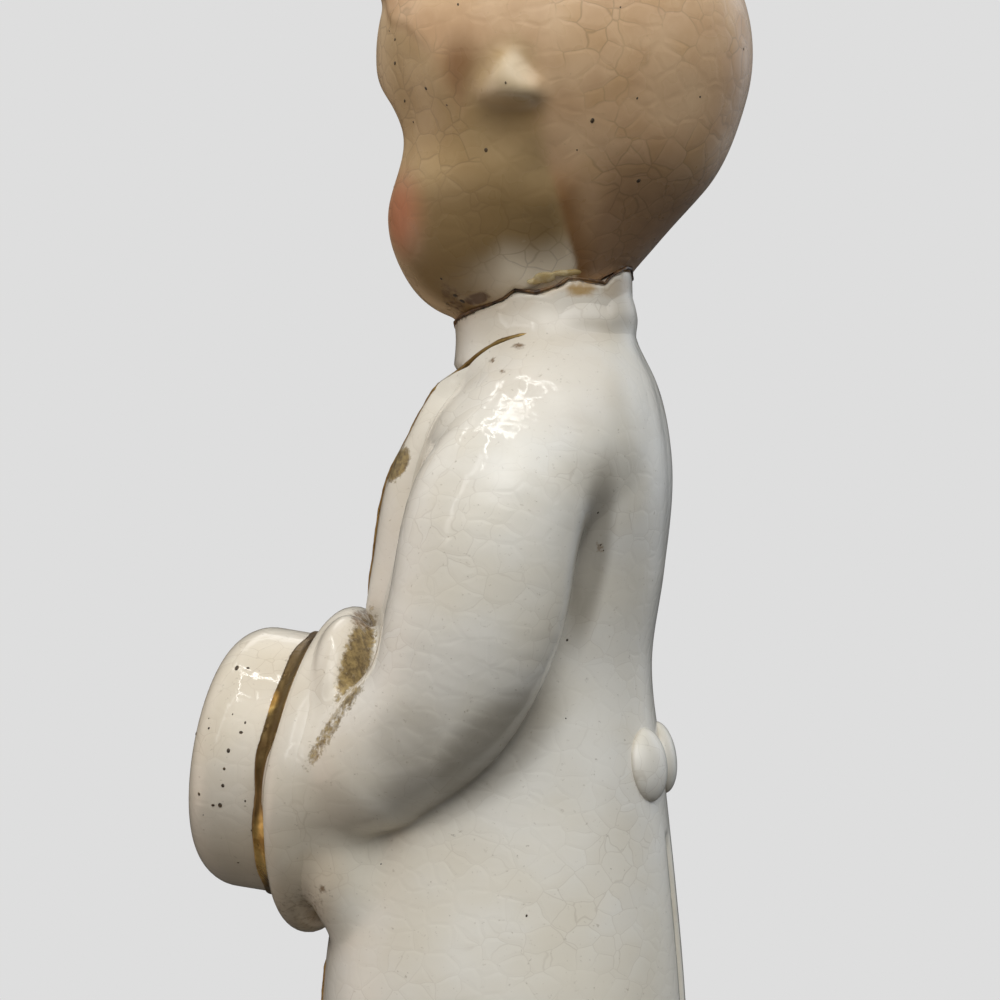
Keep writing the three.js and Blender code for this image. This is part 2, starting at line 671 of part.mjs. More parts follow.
const COAT_WITH_CLEARANCE = coatLoft(HEM_Z - 2, NECK_END_Z, GAP);
const BRIM_WITH_CLEARANCE = hatPiece(brimProfile(GAP));
const LINING_WITH_CLEARANCE = hatPiece([
  [0, -BRIM_THICKNESS],
  [LINING_RADIUS + GAP, -BRIM_THICKNESS],
  [LINING_RADIUS + GAP, 0],
  [0, 0],
]);

function sleeve(side) {
  const skin = solidOf(sleeveSkin(side));
  const hand = solidOf(handSkin(side, GAP));
  return cut(skin, COAT_WITH_CLEARANCE, BRIM_WITH_CLEARANCE, LINING_WITH_CLEARANCE, hand);
}

function hand(side) {
  const skin = solidOf(handSkin(side));
  return cut(skin, COAT_WITH_CLEARANCE, BRIM_WITH_CLEARANCE, LINING_WITH_CLEARANCE);
}

function shoe(side) {
  return cut(solidOf(shoeSkin(side)), ground(), solidOf(legSkin(side, GAP)));
}

// Assembly

const sleeveRoom = [1, -1].map((side) => solidOf(sleeveSkin(side, GAP)));
const figure = new THREE.Group();

function add(name, solid, finish) {
  const material = new THREE.MeshStandardMaterial(finish);
  const mesh = new THREE.Mesh(geometryOf(solid), material);
  mesh.name = name;
  figure.add(mesh);
}

add("head_casting", headCasting(), SKIN_GLAZE);
add("neck_glue_bead", glueBead(), GLUE);
add("coat_casting", coatCasting(), WHITE_GLAZE);
add("coat_collar", cut(coatCollar(), ...sleeveRoom), WHITE_GLAZE);
add("shirt_front", shirtFront(), WHITE_GLAZE);
add("bow_tie", bowTie(), WHITE_GLAZE);
add("hat_brim", hatPiece(brimProfile(0)), WHITE_GLAZE);
add("hat_crown", hatPiece(crownProfile()), WHITE_GLAZE);
add("hat_band", hatPiece(bandProfile()), FIRED_GOLD);
add("hat_lining", hatPiece(liningProfile()), FIRED_GOLD);
for (const side of [1, -1]) {
  const label = side > 0 ? "left" : "right";
  add(label + "_lapel", cut(lapel(side), ...sleeveRoom), WHITE_GLAZE);
  add(label + "_lapel_gold", cut(lapelGold(side), ...sleeveRoom), FIRED_GOLD);
  add(label + "_front_edge_gold", frontEdgeGold(side), FIRED_GOLD);
  add(label + "_sleeve", sleeve(side), WHITE_GLAZE);
  add(label + "_hand", hand(side), WHITE_GLAZE);
  add(label + "_tail_button", tailButton(side), WHITE_GLAZE);
  add(label + "_trouser_leg", solidOf(legSkin(side)), WHITE_GLAZE);
  add(label + "_shoe", shoe(side), WHITE_GLAZE);
}

// The origin stands under the middle of the figure's outline, at the level of the soles.
const outline = new THREE.Box3().setFromObject(figure);
figure.position.y = -(outline.min.y + outline.max.y) / 2;

export default figure;
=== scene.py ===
# %% [markdown]
# # A glazed ceramic bridegroom for the top of a wedding cake
# The real figure is slip-cast: liquid clay sets in plaster moulds, the casts are joined while damp,
# and a clear glaze runs over everything and softens each edge. This lesson builds it the same way:
# soft lumps that melt into each other, then painted colour, fired gold, crazing, specks and dirt.
# The CAD frame comes first, because every piece has to stay where it says.

# %% Load the frame
import math

import bmesh
import bpy
import numpy as np
from mathutils import Matrix, Vector


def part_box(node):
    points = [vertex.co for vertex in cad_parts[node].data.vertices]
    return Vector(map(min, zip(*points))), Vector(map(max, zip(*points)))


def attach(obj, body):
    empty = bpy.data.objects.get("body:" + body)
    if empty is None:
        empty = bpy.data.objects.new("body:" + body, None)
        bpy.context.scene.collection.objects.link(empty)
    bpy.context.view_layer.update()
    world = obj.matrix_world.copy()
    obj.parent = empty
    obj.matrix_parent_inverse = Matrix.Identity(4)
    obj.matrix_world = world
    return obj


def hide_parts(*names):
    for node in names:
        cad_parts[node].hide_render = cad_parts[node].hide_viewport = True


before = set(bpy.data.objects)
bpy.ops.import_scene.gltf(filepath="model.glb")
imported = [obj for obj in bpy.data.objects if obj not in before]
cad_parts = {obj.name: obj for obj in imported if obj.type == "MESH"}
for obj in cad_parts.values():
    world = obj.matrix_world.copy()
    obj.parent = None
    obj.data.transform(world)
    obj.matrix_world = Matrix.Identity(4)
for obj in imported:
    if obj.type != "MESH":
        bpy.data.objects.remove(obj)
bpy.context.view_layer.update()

MM = 0.001
LEG_MIDDLE_Y = 1.2

leg_low, leg_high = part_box("left_trouser_leg")
SHIFT = (leg_low.y + leg_high.y) / 2 / MM - LEG_MIDDLE_Y
print("the frame holds", len(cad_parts), "CAD pieces")
print("drawn in millimetres, and moved back by", round(SHIFT, 3), "mm to stand in the frame")

# %% [markdown]
# ## The camera
# The photograph was taken from close by, level with the chest, on the figure's left and a little
# behind it. The camera is made first and never moves again.

# %% Camera
CAMERA_TURN = math.radians(12)
CAMERA_DISTANCE = 200
CAMERA_HEIGHT = 71.8
AXIS_Y = -0.29
FOCAL_PER_WIDTH = 2.8

towards_camera = Vector((math.cos(CAMERA_TURN), math.sin(CAMERA_TURN), 0))
target = Vector((0, AXIS_Y + SHIFT, CAMERA_HEIGHT))
camera_data = bpy.data.cameras.new("camera")
camera_data.lens = camera_data.sensor_width * FOCAL_PER_WIDTH
camera_data.clip_start = 0.01
camera = bpy.data.objects.new("camera", camera_data)
camera.location = (target + towards_camera * CAMERA_DISTANCE) * MM
camera.rotation_euler = (-towards_camera).to_track_quat("-Z", "Y").to_euler()
bpy.context.scene.collection.objects.link(camera)
bpy.context.scene.camera = camera
bpy.context.scene.view_settings.view_transform = "Standard"
print("camera at", [round(v, 4) for v in camera.location])

# %% [markdown]
# ## Clay
# Each lump is a distance function: it tells how far a point is outside the lump, and less than zero
# inside. Two lumps can then melt into each other over a chosen width, which is just what damp clay
# and glaze do. A mesh is only made at the end, when a form is complete.

# %% Distance helpers
def smooth_step(low, high, x):
    """0 up to low, 1 from high on, smooth between them, and a fall where high is the lesser one."""
    t = np.clip((x - low) / (high - low), 0, 1)
    return t * t * (3 - 2 * t)


def smooth_through(xs, ys, x):
    """The value at x of a smooth curve through the knots, flat outside them."""
    xs, ys = np.asarray(xs, float), np.asarray(ys, float)
    k = np.arange(len(xs))
    after, before = np.minimum(k + 1, k[-1]), np.maximum(k - 1, 0)
    slope = (ys[after] - ys[before]) / (xs[after] - xs[before])
    x = np.clip(x, xs[0], xs[-1])
    i = np.clip(np.searchsorted(xs, x) - 1, 0, len(xs) - 2)
    width = xs[i + 1] - xs[i]
    t = (x - xs[i]) / width
    rise = (2 * t**3 - 3 * t**2 + 1) * ys[i] + (3 * t**2 - 2 * t**3) * ys[i + 1]
    lean = (t**3 - 2 * t**2 + t) * slope[i] + (t**3 - t**2) * slope[i + 1]
    return rise + lean * width


def melt(a, b, blend):
    """Both lumps, run together over the blend's width."""
    h = np.maximum(blend - np.abs(a - b), 0) / blend
    return np.minimum(a, b) - h * h * blend / 4


def without(a, b, blend):
    """The first lump where the second isn't, with a soft edge."""
    return -melt(-a, b, blend)


def egg(p, at, radii):
    """Distance to an egg: exact on its surface, and near enough beside it to melt with."""
    offset, radii = p - np.array(at, float), np.array(radii, float)
    near = np.linalg.norm(offset / radii, axis=-1)
    steep = np.linalg.norm(offset / radii**2, axis=-1)
    return near * (near - 1) / np.maximum(steep, 1e-9)


def pressed_on(lump, p, at, radii, blend):
    """The lump with an egg of clay pressed onto it."""
    return melt(lump, egg(p, at, radii), blend)


def scooped(lump, p, at, radii, blend):
    """The lump with an egg scooped out of it."""
    return without(lump, egg(p, at, radii), blend)


def mirrored(p):
    """The same places on the figure's left, because most forms are drawn once for both sides."""
    return np.stack([np.abs(p[..., 0]), p[..., 1], p[..., 2]], -1)


def outward(distance, p, step=0.02):
    """The unit vector along which a distance function grows."""
    moves = np.eye(3) * step
    slope = np.stack([distance(p + move) - distance(p - move) for move in moves], -1)
    return slope / np.maximum(np.linalg.norm(slope, axis=-1, keepdims=True), 1e-9)


def settle(distance, p, most=0.4, rounds=6):
    """Slides points along the slope until they lie on the surface."""
    for _ in range(rounds):
        p = p - outward(distance, p) * np.clip(distance(p), -most, most)[..., None]
    return p


# %% [markdown]
# ## From distance to mesh
# A lump of any shape is meshed with surface nets: a grid of small cells, one vertex in each cell that
# the surface crosses, and one four-sided face round each grid edge that it crosses. The vertices then
# slide onto the true surface, so the result is as smooth as the function itself.

# %% Surface nets
def sampled(distance, axes):
    """The distance at every point of a grid, one slice at a time."""
    grid = np.empty([len(a) for a in axes])
    for i, x in enumerate(axes[0]):
        y, z = np.meshgrid(axes[1], axes[2], indexing="ij")
        grid[i] = distance(np.stack([np.full_like(y, x), y, z], -1))
    return grid


def corner_cut(grid, shift):
    """The grid moved by a corner of the unit cell."""
    return grid[tuple(slice(s, n - 1 + s) for s, n in zip(shift, grid.shape))]


def net_points(grid, axes, cell):
    """The middle of the edge crossings in each crossed cell, and each cell's number."""
    corners = [(i, j, k) for i in (0, 1) for j in (0, 1) for k in (0, 1)]
    count = sum(corner_cut(grid < 0, c).astype(int) for c in corners)
    crossed = (count > 0) & (count < 8)
    number = np.full(crossed.shape, -1)
    number[crossed] = np.arange(crossed.sum())
    total, hits = np.zeros((crossed.sum(), 3)), np.zeros(crossed.sum())
    for a in corners:
        for axis in range(3):
            if a[axis]:
                continue
            b = tuple(1 if k == axis else v for k, v in enumerate(a))
            from_a, from_b = corner_cut(grid, a)[crossed], corner_cut(grid, b)[crossed]
            cut = (from_a < 0) != (from_b < 0)
            share = np.where(cut, from_a / np.where(cut, from_a - from_b, 1), 0)
            place = np.repeat([a], len(share), 0).astype(float)
            place[:, axis] += share
            total += place * cut[:, None]
            hits += cut
    origin = np.array([a[0] for a in axes])
    return origin + (np.argwhere(crossed) + total / hits[:, None]) * cell, number


def net_faces(grid, number):
    """A four-sided face round each grid edge that the surface crosses, turned outwards."""
    faces = []
    inside = grid < 0
    for axis in range(3):
        u, v = (axis + 1) % 3, (axis + 2) % 3
        low, high = [slice(None)] * 3, [slice(None)] * 3
        low[axis], high[axis] = slice(0, -1), slice(1, None)
        flips = inside[tuple(low)] != inside[tuple(high)]
        at = np.argwhere(flips)
        limit = np.array(number.shape)
        at = at[(at[:, u] > 0) & (at[:, v] > 0) & (at[:, u] < limit[u]) & (at[:, v] < limit[v])]
        step_u, step_v = np.eye(3, dtype=int)[u], np.eye(3, dtype=int)[v]
        ring = [number[tuple(q.T)] for q in (at, at - step_u, at - step_u - step_v, at - step_v)]
        quads = np.stack(ring, -1)
        turned = ~inside[tuple(at.T)]
        quads[turned] = quads[turned][:, ::-1]
        faces.append(quads)
    return np.concatenate(faces)


def carve(distance, low, high, cell, rounds=3):
    """Points and faces of a lump inside a box, with cells of one size."""
    axes = [np.arange(a - cell, b + 2 * cell, cell) for a, b in zip(low, high)]
    grid = sampled(distance, axes)
    points, number = net_points(grid, axes, cell)
    return settle(distance, points, cell / 2, rounds), net_faces(grid, number)


# %% [markdown]
# ## A piece and its place
# Everything is drawn in millimetres round the figure's own axis, and the frame is in metres and lies
# a little further back. One function makes that step for every piece, so that each finished object
# sits at the origin, and another one says which CAD nodes it stands for.

# %% Pieces
SIDES = ((1, "left"), (-1, "right"))
drawn = []


def in_metres(points):
    return (np.asarray(points) + [0, SHIFT, 0]) * MM


def piece(name, points, faces):
    """A smooth-shaded object at the origin, with its place in its mesh, in metres."""
    mesh = bpy.data.meshes.new(name)
    mesh.from_pydata(in_metres(points).tolist(), [], np.asarray(faces).tolist())
    mesh.polygons.foreach_set("use_smooth", [True] * len(mesh.polygons))
    mesh.update()
    obj = bpy.data.objects.new(name, mesh)
    bpy.context.scene.collection.objects.link(obj)
    drawn.append(obj)
    return obj


def write_attribute(obj, name, values):
    attribute = obj.data.attributes.new(name, "FLOAT", "POINT")
    attribute.data.foreach_set("value", np.asarray(values, np.float32))


def stand_for(obj, slot, *nodes):
    """The piece rides on the one body and takes the place of its CAD nodes."""
    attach(obj, "root")
    if nodes:
        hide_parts(*nodes)
    triangles = sum(len(p.vertices) - 2 for p in obj.data.polygons)
    print(obj.name, "has", triangles, "triangles")
    return obj


# %% [markdown]
# ## The broken neck
# The head snapped off once and was glued back. Both broken faces share one surface: it slopes up to
# the back, and along the skin it has the small teeth that clay breaks with. The teeth that can be seen
# are given by their angle round the neck, and the far side repeats the same kind of line.

# %% The break
BREAK_HEIGHT = 85.7
BREAK_SLOPE = 0.33
NECK_Y = 2.7
NECK_HALF = 6.2
TEETH_DEG = [0, 21, 40, 55, 67, 76, 84, 89, 98, 106, 112, 118, 126, 138, 144, 149, 155, 168, 180]
TEETH_MM = [0.2, 0.59, 0.6, 0.54, 0.49, 0.5, 0.86, 0.62, 0.15, 0.14, 0.13, 0.38, 0.15, -0.32, -0.56]
TEETH_MM += [-0.2, 0.01, 0.3, 0.27]
FAR_TEETH, FAR_WIDE_DEG, FAR_NARROW_DEG = 0.3, 11, 4.3
NEAR_SHARE_FAR = 0.3
TEETH_REACH = 1.3


def neck_angle(x, y):
    """Degrees round the neck from the front, positive on the figure's left."""
    return np.degrees(np.arctan2(x, -(y - NECK_Y)))


def break_height(x, y):
    """How high the broken faces meet at a place in the plan."""
    angle = neck_angle(x, y)
    near_side = np.interp(np.abs(angle), TEETH_DEG, TEETH_MM)
    far_side = FAR_TEETH * (np.sin(angle / FAR_WIDE_DEG) + 0.6 * np.sin(angle / FAR_NARROW_DEG))
    teeth = np.where(angle >= 0, near_side, far_side + NEAR_SHARE_FAR * near_side)
    share = np.clip(np.hypot(x, y - NECK_Y) / NECK_HALF, 0, TEETH_REACH)
    return BREAK_HEIGHT + BREAK_SLOPE * (y - NECK_Y) + teeth * share


# %% [markdown]
# ## The coat
# The coat is one hollow cast from hem to neck. Level stations give its half width and its reach to
# front and back, as in the CAD, and each level is a slightly squared oval.

# %% Coat
COAT_SHARES = [0.315, 0.397, 0.478, 0.607, 0.7, 0.782, 0.852, 0.898, 0.933, 0.968, 1.004, 1.05]
COAT_HALVES = [13.8, 13.5, 12.9, 11.2, 10.3, 10.6, 10.9, 10.3, 8.4, 6.7, 6.2, 6.2]
COAT_FRONTS = [13.1, 12.9, 12.3, 10.2, 9.3, 8.2, 7.1, 5.1, 3.7, 3.3, 3.6, 3.6]
COAT_BACKS = [13.3, 13.0, 12.5, 11.4, 10.5, 11.4, 11.8, 11.4, 10.7, 9.5, 9.2, 9.2]
COAT_SQUARENESS = 2.15
HEM_Z = COAT_SHARES[0] * BREAK_HEIGHT
STATION_Z = BREAK_HEIGHT * np.array(COAT_SHARES)


def coat_measures(z):
    """Half width, half depth and middle of the coat at a height."""
    half, front, back = (
        smooth_through(STATION_Z, reach, z) for reach in (COAT_HALVES, COAT_FRONTS, COAT_BACKS)
    )
    return half, (front + back) / 2, (back - front) / 2


def coat_oval(p):
    """Distance to the plain coat, and the angle round it from the front."""
    half, depth, middle = coat_measures(p[..., 2])
    across, along = np.abs(p[..., 0]) / half, np.abs(p[..., 1] - middle) / depth
    power = COAT_SQUARENESS
    near = np.maximum((across**power + along**power) ** (1 / power), 0.05)
    slope = np.hypot(across ** (power - 1) / half, along ** (power - 1) / depth)
    steep = near ** (1 - power) * slope
    front = -np.sign(p[..., 1] - middle) * along ** (power / 2)
    return (near - 1) / np.maximum(steep, 1e-3), np.arctan2(across ** (power / 2), front)


def coat_skin(angle, z):
    """Points of the plain coat at angles round from the front towards the figure's left."""
    half, depth, middle = coat_measures(z)
    sine, cosine, power = np.sin(angle), np.cos(angle), 2 / COAT_SQUARENESS
    x = half * np.sign(sine) * np.abs(sine) ** power
    y = middle - depth * np.sign(cosine) * np.abs(cosine) ** power
    return np.stack([x, y, z * np.ones_like(x)], -1)


# %% [markdown]
# The coat is cut away in front: its edge comes up from the hem, nears the middle over the chest and
# then turns out round the neck as the lapel and collar. One line of angles and heights gives that
# edge, and the opening, the lapels and the gold all follow it.

# %% The coat's front edge
EDGE_DEG = [16, 14, 8, 12, 19, 26, 40, 64, 87]
EDGE_SHARES = [0.315, 0.467, 0.723, 0.817, 0.887, 0.924, 0.945, 0.963, 0.97]
EDGE_PER_RADIAN = 0.23


def through_points(knots, count):
    """Evenly shared points on the centripetal curve that the CAD also uses."""
    knots = np.asarray(knots, float)
    ends = np.vstack([2 * knots[0] - knots[1], knots, 2 * knots[-1] - knots[-2]])
    out = []
    for place in np.linspace(0, len(knots) - 1, count):
        i = min(int(place), len(knots) - 2)
        t = place - i
        a, b, c, d = ends[i : i + 4]
        gaps = [max(np.linalg.norm(q - r) ** 0.5, 1e-4) for q, r in ((b, a), (c, b), (d, c))]
        first = ((b - a) / gaps[0] - (c - a) / (gaps[0] + gaps[1]) + (c - b) / gaps[1]) * gaps[1]
        last = ((c - b) / gaps[1] - (d - b) / (gaps[1] + gaps[2]) + (d - c) / gaps[2]) * gaps[1]
        ease = b + first * t + (3 * (c - b) - 2 * first - last) * t**2
        out.append(ease + (first + last - 2 * (c - b)) * t**3)
    return np.array(out)


edge_knots = np.stack([np.radians(EDGE_DEG), np.array(EDGE_SHARES) / EDGE_PER_RADIAN], -1)
edge_line = through_points(edge_knots, 300)
EDGE_ANGLES, EDGE_Z = edge_line[:, 0], edge_line[:, 1] * EDGE_PER_RADIAN * BREAK_HEIGHT


def edge_angle(z):
    return np.interp(z, EDGE_Z, EDGE_ANGLES)


print("the coat's front edge runs from", round(EDGE_Z[0], 1), "to", round(EDGE_Z[-1], 1), "mm")

# %% [markdown]
# ## The arms and hands
# Each arm is a bent sausage of clay, pressed onto the coat while both were damp: at the shoulder the
# two run together without a seam, and lower down a sharp crease parts them. The gloved hand presses on
# the back of the hat's brim and has no cuff line, so it belongs to the same skin. Each lump beside
# the arm is an egg: its middle, its three radii and the width over which it melts in.

# %% Arms, hands and hat's place
HAT_HEIGHT = 52.4
HAT_TILT = math.radians(8)
BRIM_RADIUS = 11.85
BRIM_THICKNESS = 2.7
SLEEVE_OUT = [8.0, 10.9, 11.9, 11.5, 10.1]
SLEEVE_BACK = [3.8, 1.8, 0.5, -1.9, -6.3]
SLEEVE_DOWN = [0, 0.2, 0.53, 0.805, 1]
SLEEVE_RADII = [5.3, 6.0, 6.0, 5.35, 4.9]
SHOULDER_Z = 0.877 * BREAK_HEIGHT
WRIST_Z = HAT_HEIGHT + 1.7
SLEEVE_FLATNESS = 0.86
SLEEVE_PARTS = 28
HAT_MIDDLE = np.array([0, -(smooth_through(STATION_Z, COAT_FRONTS, HAT_HEIGHT) + 2.65), HAT_HEIGHT])
HAND = [8.7, HAT_MIDDLE[1] + 2.7, HAT_HEIGHT - 0.6], [3.1, 3.8, 3.9], 2.2
HAND_WEB = [6.8, HAT_MIDDLE[1] + 3.3, HAT_HEIGHT - 6.2], [3.6, 3.2, 4.6], 2.0
HAT_BACKING = [5.0, HAT_MIDDLE[1] + 2.6, HAT_HEIGHT + 5.0], [5.8, 2.5, 6.3], 1.2
CHEST = [6.3, -0.9, 73.0], [4.9, 3.3, 6.0], 1.6
SHOULDER_BLADE = [2.4, 7.3, 74.0], [7.0, 3.8, 9.0], 1.5

sleeve_z = SHOULDER_Z + (WRIST_Z - SHOULDER_Z) * np.array(SLEEVE_DOWN)
sleeve_line = through_points(np.stack([SLEEVE_OUT, SLEEVE_BACK, sleeve_z], -1), SLEEVE_PARTS)
sleeve_girth = smooth_through(np.arange(5), SLEEVE_RADII, np.linspace(0, 4, SLEEVE_PARTS))


def arm(p):
    """Distance to the sleeve: a chain of tapered rods, flattened a little sideways."""
    flat = np.array([1 / SLEEVE_FLATNESS, 1, 1])
    p, line = p * flat, sleeve_line * flat
    nearest = np.full(p.shape[:-1], np.inf)
    for a, b, r, s in zip(line, line[1:], sleeve_girth, sleeve_girth[1:]):
        share = np.clip(((p - a) @ (b - a)) / ((b - a) @ (b - a)), 0, 1)
        gap = np.linalg.norm(p - a - share[..., None] * (b - a), axis=-1)
        nearest = np.minimum(nearest, gap - (r + (s - r) * share))
    return nearest


# %% [markdown]
# ## The hat's forms
# The hat is held by its brim with the crown forwards and a little up. In its own frame the crown
# points along the last axis and the brim lies round the origin.

# %% Hat distances
CROWN_RADIUS = 9.5
CROWN_DEPTH = 6.9
CROWN_CORNER = 2.7
BRIM_CURL = 0.5
CROWN_FLARE, CROWN_DOME, CROWN_RISE = 0.012, 0.006, 0.35
CROWN_ROOT = 0.3
DISH_RADIUS = 9.4
DISH_DEPTH = 0.55
DISH_PROUD, DISH_BLEND = 0.1, 0.5

HAT_UP = np.array([0, math.sin(HAT_TILT), math.cos(HAT_TILT)])
HAT_OUT = np.array([0, -math.cos(HAT_TILT), math.sin(HAT_TILT)])


def in_hat(p):
    """Places in the hat's own frame: across, up along the brim, and out along the crown."""
    offset = p - HAT_MIDDLE
    return np.stack([offset[..., 0], offset @ HAT_UP, offset @ HAT_OUT], -1)


def from_hat(q):
    across = np.array([1.0, 0, 0])
    return HAT_MIDDLE + q[..., :1] * across + q[..., 1:2] * HAT_UP + q[..., 2:] * HAT_OUT


def brim_disc(q):
    """A flat disc with a round edge, curled forwards at its sides."""
    round_edge = BRIM_THICKNESS / 2
    height = q[..., 2] - BRIM_CURL * ((q[..., 0] / BRIM_RADIUS) ** 2 - 0.5)
    spread = np.maximum(np.hypot(q[..., 0], q[..., 1]) - (BRIM_RADIUS - round_edge), 0)
    return np.hypot(spread, height) - round_edge


def brim(q):
    """The disc with the hat's mouth dished into its back."""
    mouth = [0, 0, -BRIM_THICKNESS / 2 - DISH_PROUD]
    radii = [DISH_RADIUS, DISH_RADIUS, DISH_DEPTH + DISH_PROUD]
    return scooped(brim_disc(q), q, mouth, radii, DISH_BLEND)


def crown(q):
    """A short drum with a domed lid and a big round corner."""
    radius = np.hypot(q[..., 0], q[..., 1])
    top = BRIM_THICKNESS / 2 + CROWN_DEPTH
    lean = CROWN_FLARE * (q[..., 2] - top)
    side = radius - (CROWN_RADIUS + lean - CROWN_CORNER)
    lid = q[..., 2] + CROWN_DOME * radius**2 - (top + CROWN_RISE - CROWN_CORNER)
    outside = np.hypot(np.maximum(side, 0), np.maximum(lid, 0))
    corner = outside + np.minimum(np.maximum(side, lid), 0)
    return np.maximum(corner - CROWN_CORNER, BRIM_THICKNESS / 2 - CROWN_ROOT - q[..., 2])


# %% [markdown]
# ## One skin for coat, sleeves and hands
# The real cast has no seam at the shoulder, so the coat, sleeves and hands are one mesh. The blend
# is wide where the shoulder runs into the coat and narrow where a crease parts them. The shallow
# opening in front and the vent behind are sunk into the coat first. The hem, the broken neck and the
# hole underneath, which let air out in the kiln, are cut last.

# %% Body distance
FRONT_RECESS = 0.8
BREAK_GAP, BREAK_ROUND = 0.06, 0.1
OPENING_TOP_Z = 0.945 * BREAK_HEIGHT
OPENING_SIDE, OPENING_TOP = (-0.15, 0.3), (OPENING_TOP_Z + 0.5, OPENING_TOP_Z - 0.6)
VENT_TOP_Z = 0.56 * BREAK_HEIGHT
VENT_HALF = 0.45
VENT_SIDE, VENT_TOP = (VENT_HALF + 0.45, VENT_HALF - 0.2), (VENT_TOP_Z + 0.6, VENT_TOP_Z - 1.2)
BACK_FROM_Y = 4
HEM_ROUND = 1.1
AIR_HOLE, AIR_HOLE_DEPTH, AIR_HOLE_ROUND = 3.2, 9, 0.3
CREASE_BLEND, SHOULDER_BLEND, BACK_BLEND, TOP_BLEND = 0.45, 0.9, 2.6, 1.6
SHOULDER_Z_RANGE, SHOULDER_Y_RANGE, SHOULDER_TOP_RANGE = (68, 76.5), (-1.5, 4.5), (76, 81)


def arm_blend(p):
    """How wide the arm melts into the coat: least in the creases, most at the back of the shoulder."""
    high = smooth_step(*SHOULDER_Z_RANGE, p[..., 2])
    behind = smooth_step(*SHOULDER_Y_RANGE, p[..., 1])
    low_part = CREASE_BLEND + high * (SHOULDER_BLEND + BACK_BLEND * behind)
    return low_part + TOP_BLEND * smooth_step(*SHOULDER_TOP_RANGE, p[..., 2])


def coat_form(q):
    """The coat with its shallow opening in front and its vent behind."""
    coat, angle = coat_oval(q)
    z = q[..., 2]
    inside = (edge_angle(z) - angle) * np.hypot(q[..., 0], q[..., 1])
    opening = smooth_step(*OPENING_SIDE, inside) * smooth_step(*OPENING_TOP, z)
    behind = smooth_step(*VENT_SIDE, q[..., 0]) * (q[..., 1] > BACK_FROM_Y)
    return coat + FRONT_RECESS * (opening + behind * smooth_step(*VENT_TOP, z))


def body(p):
    """Coat, sleeves and hands as one lump, cut off at the hem and at the broken neck."""
    q = mirrored(p)
    coat = pressed_on(coat_form(q), q, *SHOULDER_BLADE)
    coat = pressed_on(coat, q, *CHEST)
    d = melt(coat, arm(q), arm_blend(q))
    for lump in (HAND, HAND_WEB, HAT_BACKING):
        d = pressed_on(d, q, *lump)
    x, y, z = p[..., 0], p[..., 1], p[..., 2]
    d = -melt(-d, z - HEM_Z, HEM_ROUND)
    hole = np.maximum(np.hypot(x, y - LEG_MIDDLE_Y) - AIR_HOLE, z - HEM_Z - AIR_HOLE_DEPTH)
    d = without(d, hole, AIR_HOLE_ROUND)
    return -melt(-d, -(z - break_height(x, y) + BREAK_GAP), BREAK_ROUND)


# %% [markdown]
# The hand was pressed on the brim while both were wet, so glove and brim run together without a line,
# while the brim's top edge stays crisp against the sleeve. The two pieces share that one skin: each
# follows it on its own side, and dives just below it beyond the line where the other takes over.

# %% Hat and hand
HAT_FILLET = 1.3
SKIN_DIVE = 0.25
SKIN_OVERLAP = 0.9
BRIM_EDGE_BLEND, HAND_BLEND, UNDER_BLEND = 0.35, 2.3, 1.4
HAND_Z_RANGE, UNDER_Z_RANGE = (61, 54), (47, 43)
BODY_LOW, BODY_HIGH = (-17.6, -14.5, 26.5), (17.6, 14.5, 89)


def hat(q):
    return melt(brim(q), crown(q), HAT_FILLET)


def hold_blend(z):
    """How wide hand and brim run together at a height."""
    with_hand = BRIM_EDGE_BLEND + HAND_BLEND * smooth_step(*HAND_Z_RANGE, z)
    return with_hand - UNDER_BLEND * smooth_step(*UNDER_Z_RANGE, z)


def shared_skin(own, other, z):
    """One of two melted lumps, up to the line where the other one takes over."""
    beyond = own - other
    skin = melt(own, other, hold_blend(z)) + SKIN_DIVE * smooth_step(0, SKIN_OVERLAP, beyond)
    return np.maximum(skin, beyond - SKIN_OVERLAP)


def coat_piece(p):
    return shared_skin(body(p), hat(in_hat(p)), p[..., 2])


CELL = 0.36
coat = piece("coat_and_sleeves", *carve(coat_piece, BODY_LOW, BODY_HIGH, CELL))
skin_nodes = ("coat_casting", "left_sleeve", "right_sleeve", "left_hand", "right_hand")
stand_for(coat, "white_glaze", *skin_nodes)

# %% [markdown]
# ## The head
# The head is a second cast: a round skull over full cheeks, turned a little to the figure's right.
# It is drawn in its own frame, which stands on the break and looks straight ahead. The face is an
# ordinary doll's, with soft sockets, a button nose and small lips, and the hair is only a faint step
# in the clay, because on the real head it is almost all paint.

# %% Head distance
HEAD_AXIS_Y = 4.35
HEAD_TURN = math.radians(14)
HEAD_HEART = np.array([0, HEAD_AXIS_Y, BREAK_HEIGHT + 13.3])
SOFT, CRISP = 3.2, 0.9
JAW_FILLET = 0.8
HAIR_DEG = [0, 20, 32, 40, 50, 58, 65, 71, 75, 79, 84, 89, 94, 100, 104, 107, 108]
HAIR_DEG += [110.6, 113, 116, 119.6, 123, 132, 180]
HAIR_UP = [23.5, 22.8, 21.8, 20.7, 19, 18.7, 17.6, 16.5, 14.6, 12.9, 14.4, 15.8, 16.6, 16.8]
HAIR_UP += [16.2, 13, 9, 7.7, 6.1, 4.5, 3.2, 2.5, -2, -4]
HAIR_STEP, HAIR_STEP_HALF = 0.15, 0.35
HAIR_STEP_DEG = (78, 62)

